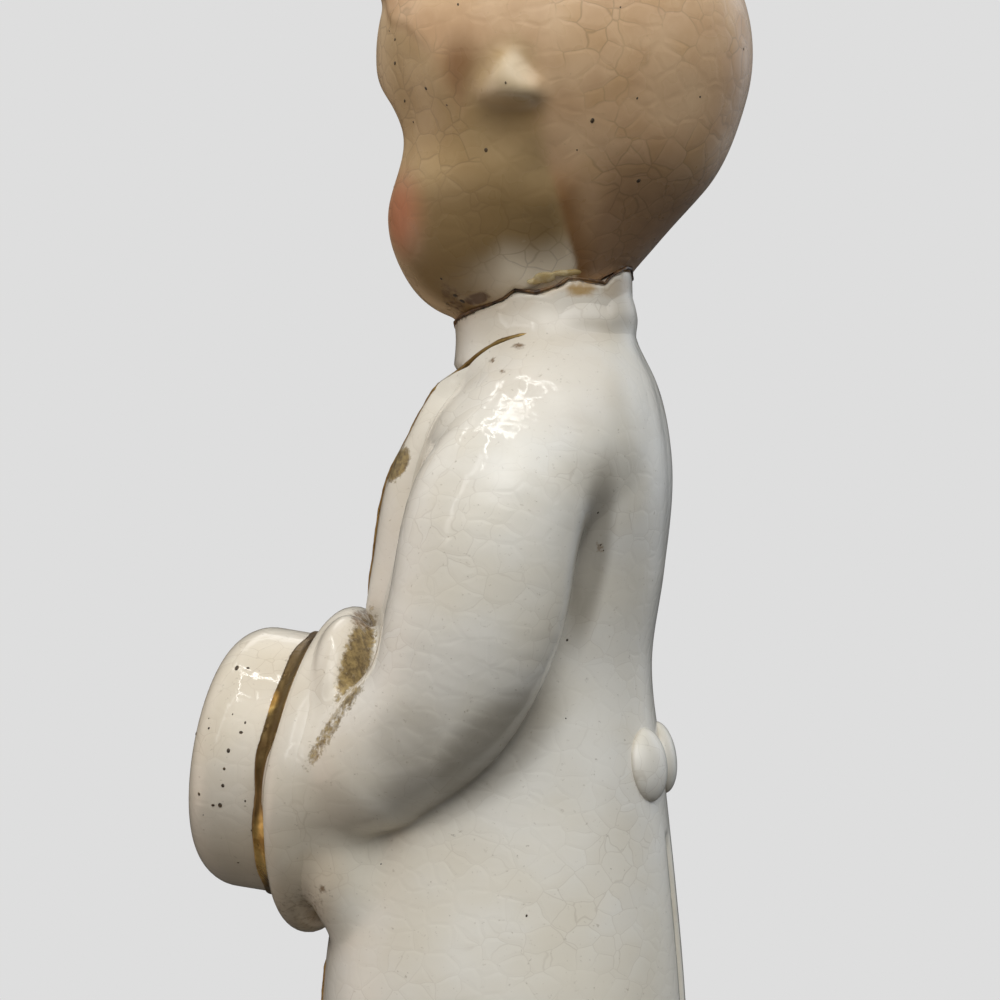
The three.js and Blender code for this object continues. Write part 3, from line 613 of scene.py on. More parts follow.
SKULL = [0, 0, 17.6], [12.9, 13.45, 12.7]
BACK_OF_HEAD = [0, 3.7, 11.4], [8.2, 6.6, 5.9], SOFT
FACE = [0, -2.45, 7.8], [10.4, 8.9, 8.4], SOFT
CHEEK = [4.5, -5.15, 5.3], [5.7, 5.4, 5.6], SOFT
CHIN = [0, -7.3, 2.8], [4.4, 3.65, 3.2], SOFT
EYE_SOCKET = [5.2, -13.25, 10.9], [3.8, 3.6, 2.8], SOFT
EYE_BALL = [4.6, -8.5, 11.3], [2.3, 1.3, 1.4], 0.8
NOSE = [0, -11.6, 8.7], [1.5, 1.8, 1.4], CRISP
NOSTRIL = [0.85, -11.6, 8.1], [0.8, 1.0, 0.7], 0.6
UPPER_LIP = [0.55, -10.6, 5.75], [1.25, 0.75, 0.5], 0.4
LOWER_LIP = [0, -10.55, 4.85], [1.2, 0.75, 0.5], 0.35
EAR = [12.2, 1.7, 13.4], [1.2, 1.8, 1.0], 1.4
EAR_TIP = [12.5, 1.6, 14.5], [0.8, 0.8, 1.3], 1.2
UNDER_EAR = [13.6, 1.4, 10.7], [2.0, 2.0, 1.5], 2.4
JAW_HOLLOW = [12.3, 3.2, 8.0], [2.6, 1.6, 1.7], 2.0
NECK = [0, -2.65, 0.3], [5.8, 5.0, 9]
NAPE_HOLLOW = [0, 13.6, 1.2], [11, 5, 4], SOFT
FORELOCK = [2.2, -10.3, 24.0], [6.2, 2.9, 2.6], 1.6
JAW_Y_RANGE = (-6.5, -1)


def in_head(p):
    """Places in the head's own frame, with the face straight ahead and the break at zero."""
    x, y = p[..., 0], p[..., 1] - HEAD_AXIS_Y
    cosine, sine = math.cos(HEAD_TURN), math.sin(HEAD_TURN)
    return np.stack([x * cosine - y * sine, x * sine + y * cosine, p[..., 2] - BREAK_HEIGHT], -1)


def face_angle(q):
    """Degrees round the head from the nose, the same on both sides."""
    return np.degrees(np.arctan2(np.abs(q[..., 0]), -q[..., 1]))


def above_hairline(q):
    """How far a point of the head lies above the hair's edge, in millimetres."""
    angle = face_angle(q)
    lift = q[..., 2] - np.interp(angle, HAIR_DEG, HAIR_UP)
    rise = np.interp(angle + 1, HAIR_DEG, HAIR_UP) - np.interp(angle - 1, HAIR_DEG, HAIR_UP)
    degree = np.radians(1) * np.maximum(np.hypot(q[..., 0], q[..., 1]), 4)
    return lift / np.hypot(1, rise / (2 * degree))


def skull_and_face(q):
    d = egg(q, *SKULL)
    for lump in (BACK_OF_HEAD, FACE, CHEEK, CHIN):
        d = pressed_on(d, q, *lump)
    d = scooped(d, q, *EYE_SOCKET)
    for lump in (EYE_BALL, NOSE, NOSTRIL, UPPER_LIP, LOWER_LIP):
        d = pressed_on(d, q, *lump)
    return d


def ear_and_jaw(d, q):
    """The head with its ears, the hollows under them, and the neck below the jaw."""
    d = pressed_on(pressed_on(d, q, *EAR), q, *EAR_TIP)
    d = scooped(scooped(d, q, *UNDER_EAR), q, *JAW_HOLLOW)
    fillet = JAW_FILLET + (SOFT - JAW_FILLET) * smooth_step(*JAW_Y_RANGE, q[..., 1])
    return scooped(pressed_on(d, q, *NECK, fillet), q, *NAPE_HOLLOW)


def whole_head(p):
    turned = in_head(p)
    q = mirrored(turned)
    d = pressed_on(ear_and_jaw(skull_and_face(q), q), turned, *FORELOCK)
    front = smooth_step(*HAIR_STEP_DEG, face_angle(q))
    return d - HAIR_STEP * smooth_step(-HAIR_STEP_HALF, HAIR_STEP_HALF, above_hairline(q)) * front


def head(p):
    """The head down to the break."""
    below = break_height(p[..., 0], p[..., 1]) + BREAK_GAP - p[..., 2]
    return -melt(-whole_head(p), -below, BREAK_ROUND)


# %% [markdown]
# The head can be seen whole from one point in its middle, so a finely divided ball is slid outwards
# along its own rays. That gives even small triangles all over, which a face needs.

# %% Head mesh
HALVINGS = 24
HEAD_REACH = 26


def ball_onto(distance, heart, subdivisions, reach):
    """A finely divided ball, blown up or shrunk onto a surface along its own rays."""
    ball = bmesh.new()
    bmesh.ops.create_icosphere(ball, subdivisions=subdivisions, radius=1)
    rays = np.array([v.co for v in ball.verts])
    rays /= np.linalg.norm(rays, axis=1, keepdims=True)
    faces = [[v.index for v in f.verts] for f in ball.faces]
    ball.free()
    near, far = np.zeros(len(rays)), np.full(len(rays), float(reach))
    for _ in range(HALVINGS):
        middle = (near + far) / 2
        inside = distance(heart + rays * middle[:, None]) < 0
        near, far = np.where(inside, middle, near), np.where(inside, far, middle)
    return heart + rays * near[:, None], faces


head_piece = piece("head", *ball_onto(head, HEAD_HEART, 7, HEAD_REACH))
stand_for(head_piece, "painted_skin", "head_casting")

# %% [markdown]
# ## Thin forms laid on the coat
# Lapels, collar and shirt front are low forms that stand about a millimetre proud, or less.
# Each is a patch of points settled on the coat's true skin and lifted along its outward direction by
# a height that falls below the skin at the borders, so that it dies away without a step. A second
# layer underneath closes it into a thin solid.

# %% Patches
UNDERSIDE = 0.4
BORDER_SUNK = 0.05


def closed_patch(top, bottom):
    """Points and faces of the thin solid between two grids of points."""
    rows, columns = top.shape[:2]
    number = np.arange(rows * columns).reshape(rows, columns)
    faces = []
    for grid, turn in ((number, 1), (number + rows * columns, -1)):
        ring = [grid[:-1, :-1], grid[1:, :-1], grid[1:, 1:], grid[:-1, 1:]][::turn]
        faces.append(np.stack([r.ravel() for r in ring], -1))
    rim = np.concatenate([number[:-1, 0], number[-1, :-1], number[:0:-1, -1], number[0, :0:-1]])
    after = np.roll(rim, -1)
    under = rows * columns
    faces.append(np.stack([after, rim, rim + under, after + under], -1))
    return np.concatenate([top.reshape(-1, 3), bottom.reshape(-1, 3)]), np.concatenate(faces)


def patch_grid(rows, columns, across_from=0, across_to=1):
    """How far up, from 0 to 1, and how far across each point of a patch lies."""
    across = np.linspace(across_from, across_to, columns)
    return np.meshgrid(np.linspace(0, 1, rows), across, indexing="ij")


def laid_on(distance, angles, heights, lift, side=1):
    """A thin solid on the coat, from grids of angles, heights and the top's lift off the skin."""
    base = coat_skin(angles, heights) * np.array([side, 1, 1])
    base = settle(distance, base)
    normal = outward(distance, base)
    return closed_patch(base + normal * lift[..., None], base - normal * UNDERSIDE)


def closed_up(obj):
    """Joins the points that coincide at seams and poles, and turns every face outwards."""
    form = bmesh.new()
    form.from_mesh(obj.data)
    bmesh.ops.remove_doubles(form, verts=form.verts, dist=1e-3 * MM)
    bmesh.ops.dissolve_degenerate(form, edges=form.edges, dist=1e-3 * MM)
    bmesh.ops.recalc_face_normals(form, faces=form.faces)
    form.to_mesh(obj.data)
    form.free()
    return obj


def swell(t, soft):
    """Rises from 0 at both ends of 0 to 1 within a soft share, and is 1 between them."""
    return smooth_step(0, soft, t) * smooth_step(1, 1 - soft, t)


# %% [markdown]
# A lapel is a long leaf: full along the coat's edge, thinning to nothing over the chest, and closed at
# both ends. It could be pulled out of the coat's own form, but then its edge would need far finer
# cells than the rest, so it is a patch with its own close rows of points.

# %% Lapels
LAPEL_BOTTOM_Z = HAT_HEIGHT + BRIM_RADIUS - 2.5
LAPEL_TOP_Z = 0.952 * BREAK_HEIGHT
LAPEL_SPREAD = math.radians(30)
LAPEL_LEAF_START, LAPEL_LEAF_RUN = 0.12, 0.78
LAPEL_HEIGHT = 1.05
LAPEL_FRONT, LAPEL_BACK, LAPEL_ENDS = (-0.03, 0.07), (1, 0.35), 0.12
EDGE_MARGIN = 0.01


def lapel_spread(z):
    """How far round the coat the lapel reaches from its edge at a height."""
    up = LAPEL_LEAF_RUN * (z - LAPEL_BOTTOM_Z) / (LAPEL_TOP_Z - LAPEL_BOTTOM_Z)
    return LAPEL_SPREAD * np.sin(math.pi * (LAPEL_LEAF_START + up))


def lapel_height(angle, z):
    """How far the lapel stands off the coat at an angle from the front and a height."""
    across = (angle - edge_angle(z) - EDGE_MARGIN) / np.maximum(lapel_spread(z), 0.05)
    up = (z - LAPEL_BOTTOM_Z) / (LAPEL_TOP_Z - LAPEL_BOTTOM_Z)
    front, back = smooth_step(*LAPEL_FRONT, across), smooth_step(*LAPEL_BACK, across)
    return LAPEL_HEIGHT * front * back * swell(up, LAPEL_ENDS)


up, across = patch_grid(90, 44, -0.05)
lapel_z = LAPEL_BOTTOM_Z + (LAPEL_TOP_Z - LAPEL_BOTTOM_Z) * up
lapel_angle = edge_angle(lapel_z) + EDGE_MARGIN + across * lapel_spread(lapel_z)
lapel_lift = lapel_height(lapel_angle, lapel_z) - BORDER_SUNK
for side, label in SIDES:
    lapel = piece(label + "_lapel_roll", *laid_on(body, lapel_angle, lapel_z, lapel_lift, side))
    stand_for(closed_up(lapel), "white_glaze", label + "_lapel")


def dressed(p):
    """The body with its lapels' height on it, for what is painted over both."""
    angle = coat_oval(p)[1]
    return body(p) - np.maximum(lapel_height(angle, p[..., 2]), 0)


# %% [markdown]
# Round the back of the neck the collar is hardly more than a swelling, and in the opening lies a
# shirt with soft upright tucks. Both are patches again, with a wave added to the shirt's lift.

# %% Collar and shirt front
COLLAR_FROM = math.radians(99)
COLLAR_ROLL = 0.34
COLLAR_SUNK = 0.06
COLLAR_FOOT, COLLAR_GAP = 2.8, 1.3
COLLAR_SOFT, COLLAR_END_SOFT = 0.5, 0.25
SHIRT_TOP_Z = 0.94 * BREAK_HEIGHT
SHIRT_LIFT = 0.3
SHIRT_TUCKS = 7
SHIRT_TUCK_DEPTH = 0.05
SHIRT_SIDE_GAP = 0.05
SHIRT_SOFT, SHIRT_SIDE_SOFT = 0.05, 0.06

up, across = patch_grid(24, 120)
collar_angle = COLLAR_FROM + across * 2 * (math.pi - COLLAR_FROM)
foot = coat_skin(collar_angle, BREAK_HEIGHT - COLLAR_FOOT + 0 * up)
collar_top = break_height(foot[..., 0], foot[..., 1]) - COLLAR_GAP
collar_z = BREAK_HEIGHT - COLLAR_FOOT + up * (collar_top - BREAK_HEIGHT + COLLAR_FOOT)
collar_lift = COLLAR_ROLL * swell(up, COLLAR_SOFT) * swell(across, COLLAR_END_SOFT) - COLLAR_SUNK
collar = piece("collar_roll", *laid_on(body, collar_angle, collar_z, collar_lift))
stand_for(closed_up(collar), "white_glaze", "coat_collar")

up, across = patch_grid(60, 60, -1)
shirt_z = LAPEL_BOTTOM_Z + (SHIRT_TOP_Z - LAPEL_BOTTOM_Z) * up
shirt_angle = across * (edge_angle(shirt_z) - SHIRT_SIDE_GAP)
tucks = SHIRT_TUCK_DEPTH * np.cos(across * math.pi * SHIRT_TUCKS)
shirt_full = (SHIRT_LIFT + tucks) * swell(up, SHIRT_SOFT)
shirt_lift = shirt_full * swell((across + 1) / 2, SHIRT_SIDE_SOFT) - BORDER_SUNK
shirt = piece("shirt_front_panel", *laid_on(body, shirt_angle, shirt_z, shirt_lift))
stand_for(closed_up(shirt), "white_glaze", "shirt_front")

# %% [markdown]
# The bow tie can't be seen in the photograph and is a plain one: two pinched wings and a knot. It is
# small and round all over, so it is carved as a lump of its own with fine cells.

# %% Bow tie
BOW_Z = 0.921 * BREAK_HEIGHT
BOW_WING = [1.55, -0.35, 0], [1.35, 0.62, 1.15]
BOW_PINCH = [0.75, -0.9, 0], [0.5, 0.5, 0.16], 0.25
BOW_ROOT = [0.5, -0.35, 0], [0.8, 0.5, 0.5], 0.3
BOW_KNOT = [0, -0.55, 0], [0.5, 0.5, 0.58], 0.12
BOW_LOW, BOW_HIGH, BOW_CELL = np.array([-3.2, -1.3, -1.4]), np.array([3.2, 0.6, 1.4]), 0.12
bow_front = settle(body, np.array([[0, -4.5, BOW_Z]]), rounds=12)[0]


def bow(p):
    q = mirrored(p - bow_front)
    wing = scooped(egg(q, *BOW_WING), q, *BOW_PINCH)
    return pressed_on(pressed_on(wing, q, *BOW_ROOT), q, *BOW_KNOT)


bow_tie = piece("bow_tie_knot", *carve(bow, bow_front + BOW_LOW, bow_front + BOW_HIGH, BOW_CELL))
stand_for(bow_tie, "white_glaze", "bow_tie")

# %% [markdown]
# Two buttons sit at the top of the vent behind. Each is a low dome pressed on the skin: an egg laid
# flat on it, with its middle just below the surface, carved in a small box of its own.

# %% Tail buttons
BUTTON_Z = 0.623 * BREAK_HEIGHT
BUTTON_TURN = math.radians(14.5)
BUTTON_RADII = [2.45, 2.6, 1.2]
BUTTON_SUNK = 0.15
BUTTON_CELL = 0.15
BUTTON_ROOM = 3


def local_axes(out):
    """Sideways, upwards and outwards on the skin, as the columns of a turn."""
    sideways = np.cross([0, 0, 1], out)
    sideways /= np.linalg.norm(sideways)
    return np.stack([sideways, np.cross(out, sideways), out], -1)


for side, label in SIDES:
    foot = settle(body, coat_skin(np.array([math.pi - BUTTON_TURN]), np.array([BUTTON_Z])))
    foot, out = foot[0] * [side, 1, 1], outward(body, foot)[0] * [side, 1, 1]
    heart, axes = foot - out * BUTTON_SUNK, local_axes(out)

    def dome(p):
        return egg((p - heart) @ axes, [0, 0, 0], BUTTON_RADII)

    carved = carve(dome, heart - BUTTON_ROOM, heart + BUTTON_ROOM, BUTTON_CELL)
    button = piece(label + "_tail_button_dome", *carved)
    stand_for(button, "white_glaze", label + "_tail_button")

# %% [markdown]
# ## The hat
# The hat is one lump with the figure, but its gold band parts it for the eye into brim and crown. Both
# pieces are cut from one soft form, so the fillet under the band runs through. The band is a raised
# line of fired gold with a hand-painted, slightly wavy edge, and the dished inside is gold as well.

# %% Hat pieces
BAND_MIDDLE = 2.15
BAND_HALF = 0.66
BAND_WAVE = 0.12
BAND_OUTER = CROWN_RADIUS + 0.65
BAND_LIFT, BAND_ROUND = 0.2, 0.25
LINING_RADIUS = 9.2
LINING_HEIGHT = -1.85
LINING_HALF, LINING_ROUND = 0.2, 0.3
HAT_CELL, BAND_CELL, LINING_CELL = 0.36, 0.2, 0.3


def brim_piece(q):
    p = from_hat(q)
    return np.maximum(shared_skin(hat(q), body(p), p[..., 2]), q[..., 2] - BAND_MIDDLE)


def crown_piece(q):
    return np.maximum(hat(q), BAND_MIDDLE - q[..., 2])


def band_piece(q):
    """A thin ring round the foot of the crown, with a wavy edge."""
    turn = np.arctan2(q[..., 1], q[..., 0])
    wave = BAND_WAVE * (np.sin(3 * turn + 1) + 0.6 * np.sin(8 * turn) + 0.4 * np.sin(13 * turn))
    up = np.abs(q[..., 2] - BAND_MIDDLE - wave) - BAND_HALF
    up = np.maximum(up, np.hypot(q[..., 0], q[..., 1]) - BAND_OUTER)
    ring = np.abs(hat(q)) - BAND_LIFT
    return -melt(-up, -ring, BAND_ROUND)


def lining_piece(q):
    """The gold film on the hat's dished inside."""
    up = np.abs(q[..., 2] - LINING_HEIGHT) - LINING_HALF
    return -melt(-up, LINING_RADIUS - np.hypot(q[..., 0], q[..., 1]), LINING_ROUND)


for name, distance, reach, low, high, cell, slot, node in (
    ("brim", brim_piece, 12.6, -3.0, 2.3, HAT_CELL, "white_glaze", "hat_brim"),
    ("crown", crown_piece, 9.8, 1.8, 9.0, HAT_CELL, "white_glaze", "hat_crown"),
    ("gold_band", band_piece, 10.6, 1.2, 3.1, BAND_CELL, "fired_gold", "hat_band"),
    ("gold_inside", lining_piece, 9.6, -2.3, -1.4, LINING_CELL, "fired_gold", "hat_lining"),
):
    points, faces = carve(distance, (-reach, -reach, low), (reach, reach, high), cell)
    stand_for(piece(name, from_hat(points), faces), slot, node)

# %% [markdown]
# ## Legs and shoes
# The picture stops above the trousers, so these are plain forms of the kind that such figures have:
# straight trousers with a soft pressed crease, and blunt dress shoes with a low heel.

# %% Legs and shoes
LEG_SIDE = 5.9
LEG_RADII = [5.2, 5.0, 5.6]
LEG_DEPTH_RATIO = 1.12
CUFF_Z = 3.4
SHOE_BACK_Y = LEG_MIDDLE_Y - 2.8
TOE_OUT = math.radians(6)
SOLE_Z = 1.15
PRESSED_FOLD, PRESSED_HALF, PRESSED_BEHIND = 0.3, 0.8, -0.1
RUMPLE, RUMPLE_Z_RANGE, RUMPLE_WIND = 0.16, (13, 4), (1.3, 2.5)
LEG_TRIM, CUFF_ROUND, LEG_TOP_ROUND = 0.3, 0.9, 0.2
SHOE_TOE, SHOE_HEEL = ([0, -3.9, 1.7], [4.55, 5.9, 3.4]), ([0, 4.9, 2.0], [4.1, 4.9, 3.9], 3.0)
WELT_GROOVE, WELT_HALF, SOLE_PROUD, SOLE_EDGE = 0.28, 0.22, 0.15, 0.3
ARCH, ARCH_Z_RANGE, ARCH_FROM_Y, ARCH_LONG = 0.7, (0.9, 0.5), 0.2, 2.6
SOLE_ROUND = 0.5
LIMB_CELL = 0.4


def trouser_leg(p):
    """The left trouser leg, from its cuff to just inside the coat's hem."""
    x, y, z = p[..., 0] - LEG_SIDE, (p[..., 1] - LEG_MIDDLE_Y) / LEG_DEPTH_RATIO, p[..., 2]
    radius = smooth_through([CUFF_Z, (CUFF_Z + HEM_Z) / 2, HEM_Z], LEG_RADII, z)
    pressed = PRESSED_FOLD * np.exp(-((x / PRESSED_HALF) ** 2)) * np.sign(-y)
    waves = np.sin(z * RUMPLE_WIND[0] + RUMPLE_WIND[1] * np.arctan2(x, y))
    rumple = RUMPLE * waves * smooth_step(*RUMPLE_Z_RANGE, z)
    d = np.hypot(x, y) - radius - np.maximum(pressed, PRESSED_BEHIND) - rumple + LEG_TRIM
    d = -melt(-d, z - CUFF_Z, CUFF_ROUND)
    return -melt(-d, HEM_Z + 0.1 - z, LEG_TOP_ROUND)


def shoe(p):
    """The left shoe, flat underneath, with a groove above its sole."""
    x, y, z = p[..., 0] - LEG_SIDE, p[..., 1] - SHOE_BACK_Y, p[..., 2]
    cosine, sine = math.cos(TOE_OUT), math.sin(TOE_OUT)
    q = np.stack([cosine * x + sine * y, cosine * y - sine * x, z], -1)
    d = pressed_on(egg(q, *SHOE_TOE), q, *SHOE_HEEL)
    groove = WELT_GROOVE * np.exp(-(((z - SOLE_Z) / WELT_HALF) ** 2))
    welt = groove - SOLE_PROUD * smooth_step(SOLE_Z, SOLE_Z - SOLE_EDGE, z)
    under_arch = swell(np.clip((q[..., 1] - ARCH_FROM_Y) / ARCH_LONG, 0, 1), 0.3)
    arch = ARCH * smooth_step(*ARCH_Z_RANGE, z) * under_arch
    return -melt(-(d + welt + arch), z, SOLE_ROUND)


for side, label in SIDES:
    flip = np.array([side, 1, 1])
    for form, name, low, high in (
        (trouser_leg, "trouser_leg", (-0.3, -5.6, 3), (12.1, 8, 27.5)),
        (shoe, "shoe", (0.5, -12.6, -0.3), (11.7, 9.4, 6.4)),
    ):
        points, faces = carve(form, low, high, LIMB_CELL)
        made = piece(label + "_" + name + "_form", points * flip, faces[:, ::side])
        stand_for(made, "white_glaze", label + "_" + name)

# %% [markdown]
# ## What each point knows
# Dirt, painted shade, glaze and airbrushed paint follow the form: creases and the skin under the head
# are painted darker, as grime and as painted shade, hair colour stops at the hairline, blush sits on
# the cheeks. So each vertex stores how deep it lies in a crease and how far it is from each painted
# edge, in millimetres, and the materials turn those numbers into colour.

# %% Crease and stain
CREASE_REACH = 0.9
CREASE_START, CREASE_SLOPE = 1.05, 1.3


def figure(p):
    """The whole figure's distance, for finding what faces a point."""
    skin = melt(body(p), hat(in_hat(p)), hold_blend(p[..., 2]))
    return np.minimum(np.minimum(skin, head(p)), trouser_leg(mirrored(p)))


# How closely the figure faces a point, also under the head; the materials paint it darker as grime and
# as painted shade.
def crease_depth(p, normal):
    """1 where something faces the point closely, 0 where nothing does."""
    deep = np.zeros(len(p))
    for reach, weight in ((CREASE_REACH, 1), (3 * CREASE_REACH, 0.5)):
        open_room = figure(p + normal * reach) / reach
        deep = np.maximum(deep, weight * np.clip(CREASE_START - CREASE_SLOPE * open_room, 0, 1))
    return deep


def drawing_points(obj):
    """Vertex places in drawing millimetres, and their outward directions."""
    count = len(obj.data.vertices)
    points, normals = np.empty(count * 3), np.empty(count * 3)
    obj.data.vertices.foreach_get("co", points)
    obj.data.vertices.foreach_get("normal", normals)
    return points.reshape(-1, 3) / MM - [0, SHIFT, 0], normals.reshape(-1, 3)


# %% [markdown]
# Some marks belong to this one old figure: the rubbed gold behind the brim, the glue that ran from
# the crack, brown soiling. Others are painted light: painted shade under the forearm and behind the
# arm, over the hat's crown and brim and on the shoulder, a warm painted reflection low on the brim,
# and a painted highlight in two spots of the hat's gold band. They are given where the photograph
# shows them, in millimetres right of and above its middle, as leaning ovals that fade at the rim, and
# fall on what faces the camera. Each row is: right, up, half length, half width, lean in degrees,
# strength.

# %% Marks seen in the picture
TOWARDS = np.array(towards_camera)
SIDEWAYS = np.array([-math.sin(CAMERA_TURN), math.cos(CAMERA_TURN), 0])
PICTURE_HEART = np.array([0, AXIS_Y, CAMERA_HEIGHT])
RUBBED_GOLD = (
    (-10.3, -11.6, 4.3, 1.2, 74, 1.0),
    (-12.4, -16.8, 3.5, 0.6, 59, 0.6),
    (-7.3, 2.5, 1.6, 0.75, 60, 1.1),
)
# Glue stains by the crack, and painted shade over the hat and the shoulder, warm low on the brim as a
# painted reflection.
STAINS_AND_PAINTED_SHADE = (
    (5.8, 15.1, 1.4, 0.6, 0, 1.0),
    (8.3, 15.2, 1.6, 0.9, 20, 0.5),
    (3.5, 15.2, 2.2, 0.6, 8, 0.6),
    (1.0, 13.9, 2.6, 0.9, 14, 0.3),
    (4.5, 13.0, 7.0, 3.0, 8, 0.2),
    (-17.0, -18.6, 12.5, 7.5, 80, 0.2),
    (-12.2, -11.5, 5.0, 2.2, 70, 0.2),
    (-14.0, -28.0, 4.5, 3.0, 60, 0.3),
    (4.3, 8.2, 5.5, 4.0, 0, 0.14),
)
# Painted shade under the forearm and in the hollow behind the arm, where a little grime lies too.
SHADE_AND_GRIME = (
    (6.5, -3.8, 7.5, 1.5, 80, 1.0),
    (-0.6, -17.9, 7.0, 3.2, 42, 0.9),
    (-5.0, -21.0, 4.5, 2.6, 10, 0.6),
    (-6.6, -17.0, 3.0, 3.0, 0, 0.4),
)
# Two spots of the hat's gold band left bright as a painted highlight.
GOLD_HIGHLIGHT_SPOTS = (
    (-16.45, -14.45, 1.1, 0.55, 65, 1.0),
    (-17.05, -25.0, 2.9, 0.8, 88, 1.0),
)
SOILING = (
    (-1.6, 14.4, 1.1, 0.5, 14, 1.0),
    (-3.4, 14.4, 1.6, 0.9, -50, 0.5),
    (-14.3, -29.3, 2.6, 1.7, 10, 0.3),
    (-12.7, -27.7, 0.35, 0.3, 0, 0.8),
    (-9.8, -8.6, 0.9, 1.1, 60, 0.7),
    (1.3, 11.0, 0.5, 0.25, 0, 0.9),
    (-0.6, 9.95, 0.25, 0.2, 0, 0.9),
    (0.2, 9.2, 0.3, 0.2, 0, 0.8),
    (7.1, -3.3, 0.35, 0.5, 0, 0.6),
)
BREAK_STAIN, BREAK_STAIN_REACH = 0.3, 1.1
NECK_MARGIN, NECK_CREASE_CUT_REACH, NECK_CREASE_CUT = 3, 5, 0.8
OVAL_RIM = (1.15, 0.5)
EDGE_ON_RANGE = (0.1, 0.4)


def in_picture(points):
    """Millimetres right of and above the photograph's middle."""
    offset = points - PICTURE_HEART
    nearer = CAMERA_DISTANCE / (CAMERA_DISTANCE - offset @ TOWARDS)
    return offset @ SIDEWAYS * nearer, offset[:, 2] * nearer


def marked(points, normals, ovals):
    """How strongly the leaning ovals cover each point, from 0 to 1."""
    right, up = in_picture(points)
    cover = np.zeros(len(points))
    for at_right, at_up, half_long, half_wide, lean, strength in ovals:
        cosine, sine = math.cos(math.radians(lean)), math.sin(math.radians(lean))
        along = cosine * (right - at_right) + sine * (up - at_up)
        across = cosine * (up - at_up) - sine * (right - at_right)
        out = np.hypot(along / half_long, across / half_wide)
        cover = np.maximum(cover, strength * smooth_step(*OVAL_RIM, out))
    return cover * (normals @ TOWARDS > 0)


def write_marks(obj):
    """Stores a piece's dirt, stains, worn gold, painted shade and painted highlight. Crease darkening
    is weaker near the neck's joint.
    """
    points, normals = drawing_points(obj)
    gap = np.abs(points[:, 2] - break_height(points[:, 0], points[:, 1]))
    near_neck = np.hypot(points[:, 0], points[:, 1] - NECK_Y) < NECK_HALF + NECK_MARGIN
    ring = BREAK_STAIN * near_neck * smooth_step(BREAK_STAIN_REACH, 0, gap)
    facing = smooth_step(*EDGE_ON_RANGE, normals @ TOWARDS) + (points[:, 2] > LAPEL_BOTTOM_Z + 4)
    # Less crease darkening, as grime and as painted shade, close to the neck's joint.
    neck_crease_share = 1 - NECK_CREASE_CUT * near_neck * (gap < NECK_CREASE_CUT_REACH)
    for name, values in (
        ("stain_and_painted_shade", np.maximum(ring, marked(points, normals, STAINS_AND_PAINTED_SHADE))),
        ("soil", marked(points, normals, SOILING)),
        ("gold", marked(points, normals, RUBBED_GOLD) * np.minimum(facing, 1)),
        # Tarnish everywhere except the gold band's painted highlight spots.
        ("tarnish", 1 - marked(points, normals, GOLD_HIGHLIGHT_SPOTS)),
        ("shade_and_grime", marked(points, normals, SHADE_AND_GRIME)),
        ("crease", crease_depth(points, normals) * neck_crease_share),
    ):
        write_attribute(obj, name, values)


for obj in drawn:
    write_marks(obj)
print("marks are on", len(drawn), "pieces")

# %% [markdown]
# The head's paint was airbrushed and brushed on before the last firing: honey hair with a soft edge, a
# crisp one down the nape, blush on the cheeks, and a small face. Painted shade lies low on the hair
# and on the lower face, and the pale ear top is worn paint with a painted highlight. Each edge is
# stored as a distance or a strength, so the paint stays as sharp as it is meant to be, whatever the
# mesh.

# %% Painted edges of the head
UNROLL_RADIUS = 11.5
EYE_AT = (4.55, 11.1)
EYE_HALF = (1.75, 1.25)
IRIS_RADIUS = 0.82
BROW_FROM, BROW_TO = np.array([2.9, 14.3]), np.array([6.3, 14.5])
BROW_ARCH = 0.7
LIP_Z = 5.3
LIP_HALF = (1.75, 0.8)
BLUSH_AT = [9.35, -8.6, 5.9]
BLUSH_REACH = (4.2, 0.8)
IRIS_ASIDE = 0.1
BROW_HALF, BROW_THINNING = 0.32, 0.15
LASH_HALF, LASH_BELOW, LASH_OUT = 0.16, 0.2, 0.02
LIP_BOW, LIP_BOW_WAVES, LIP_SLANT = 0.12, 2.6, 0.08
FACE_BACK_Y, OFF_THE_FACE, OFF_THE_LIP = -4, 9.0, 2.0

HAIR_SOFT, NAPE_CRISP = 1.1, 0.65
NAPE_DEG, NAPE_Z = (100, 108), (11, 8)
STRIPE, STRIPE_REACH, STRIPE_Z = 0.9, (4.2, 0.3), (11, 6)
SIDEBURN, SIDEBURN_PATCH = 0.8, (81.5, 14.8, 12.5, 3.7)
# Painted shade: the hair darker towards the lower back of the head.
LOW_HAIR_SHADE, LOW_HAIR_Z, LOW_HAIR_DEG = 0.75, (12, 5), (120, 138)
EAR_DEG, EAR_RIM = 99.5, (1.1, 0.4)
EAR_STATIONS, EAR_HALVES = [11.8, 12.8, 15.9], [3.2, 3.0, 0.7]
# The pale ear colour stops above the ear's shaded underside: worn paint and a painted highlight on its
# lit top.
EAR_TOP_Z, EAR_FOOT_Z = (16.6, 15.0), (12.1, 13.4)
PALE_REACH, PALE_FROM_DEG, PALE_TO_DEG = (3.7, 0.6), (62, 92), (134, 119)
# Painted shade on the lower face and jaw.
LOW_FACE_SHADE_Z, LOW_FACE_SHADE_DEG = (9.6, 6), (125, 105)
FACE_FRONT_DEG = (54, 34)


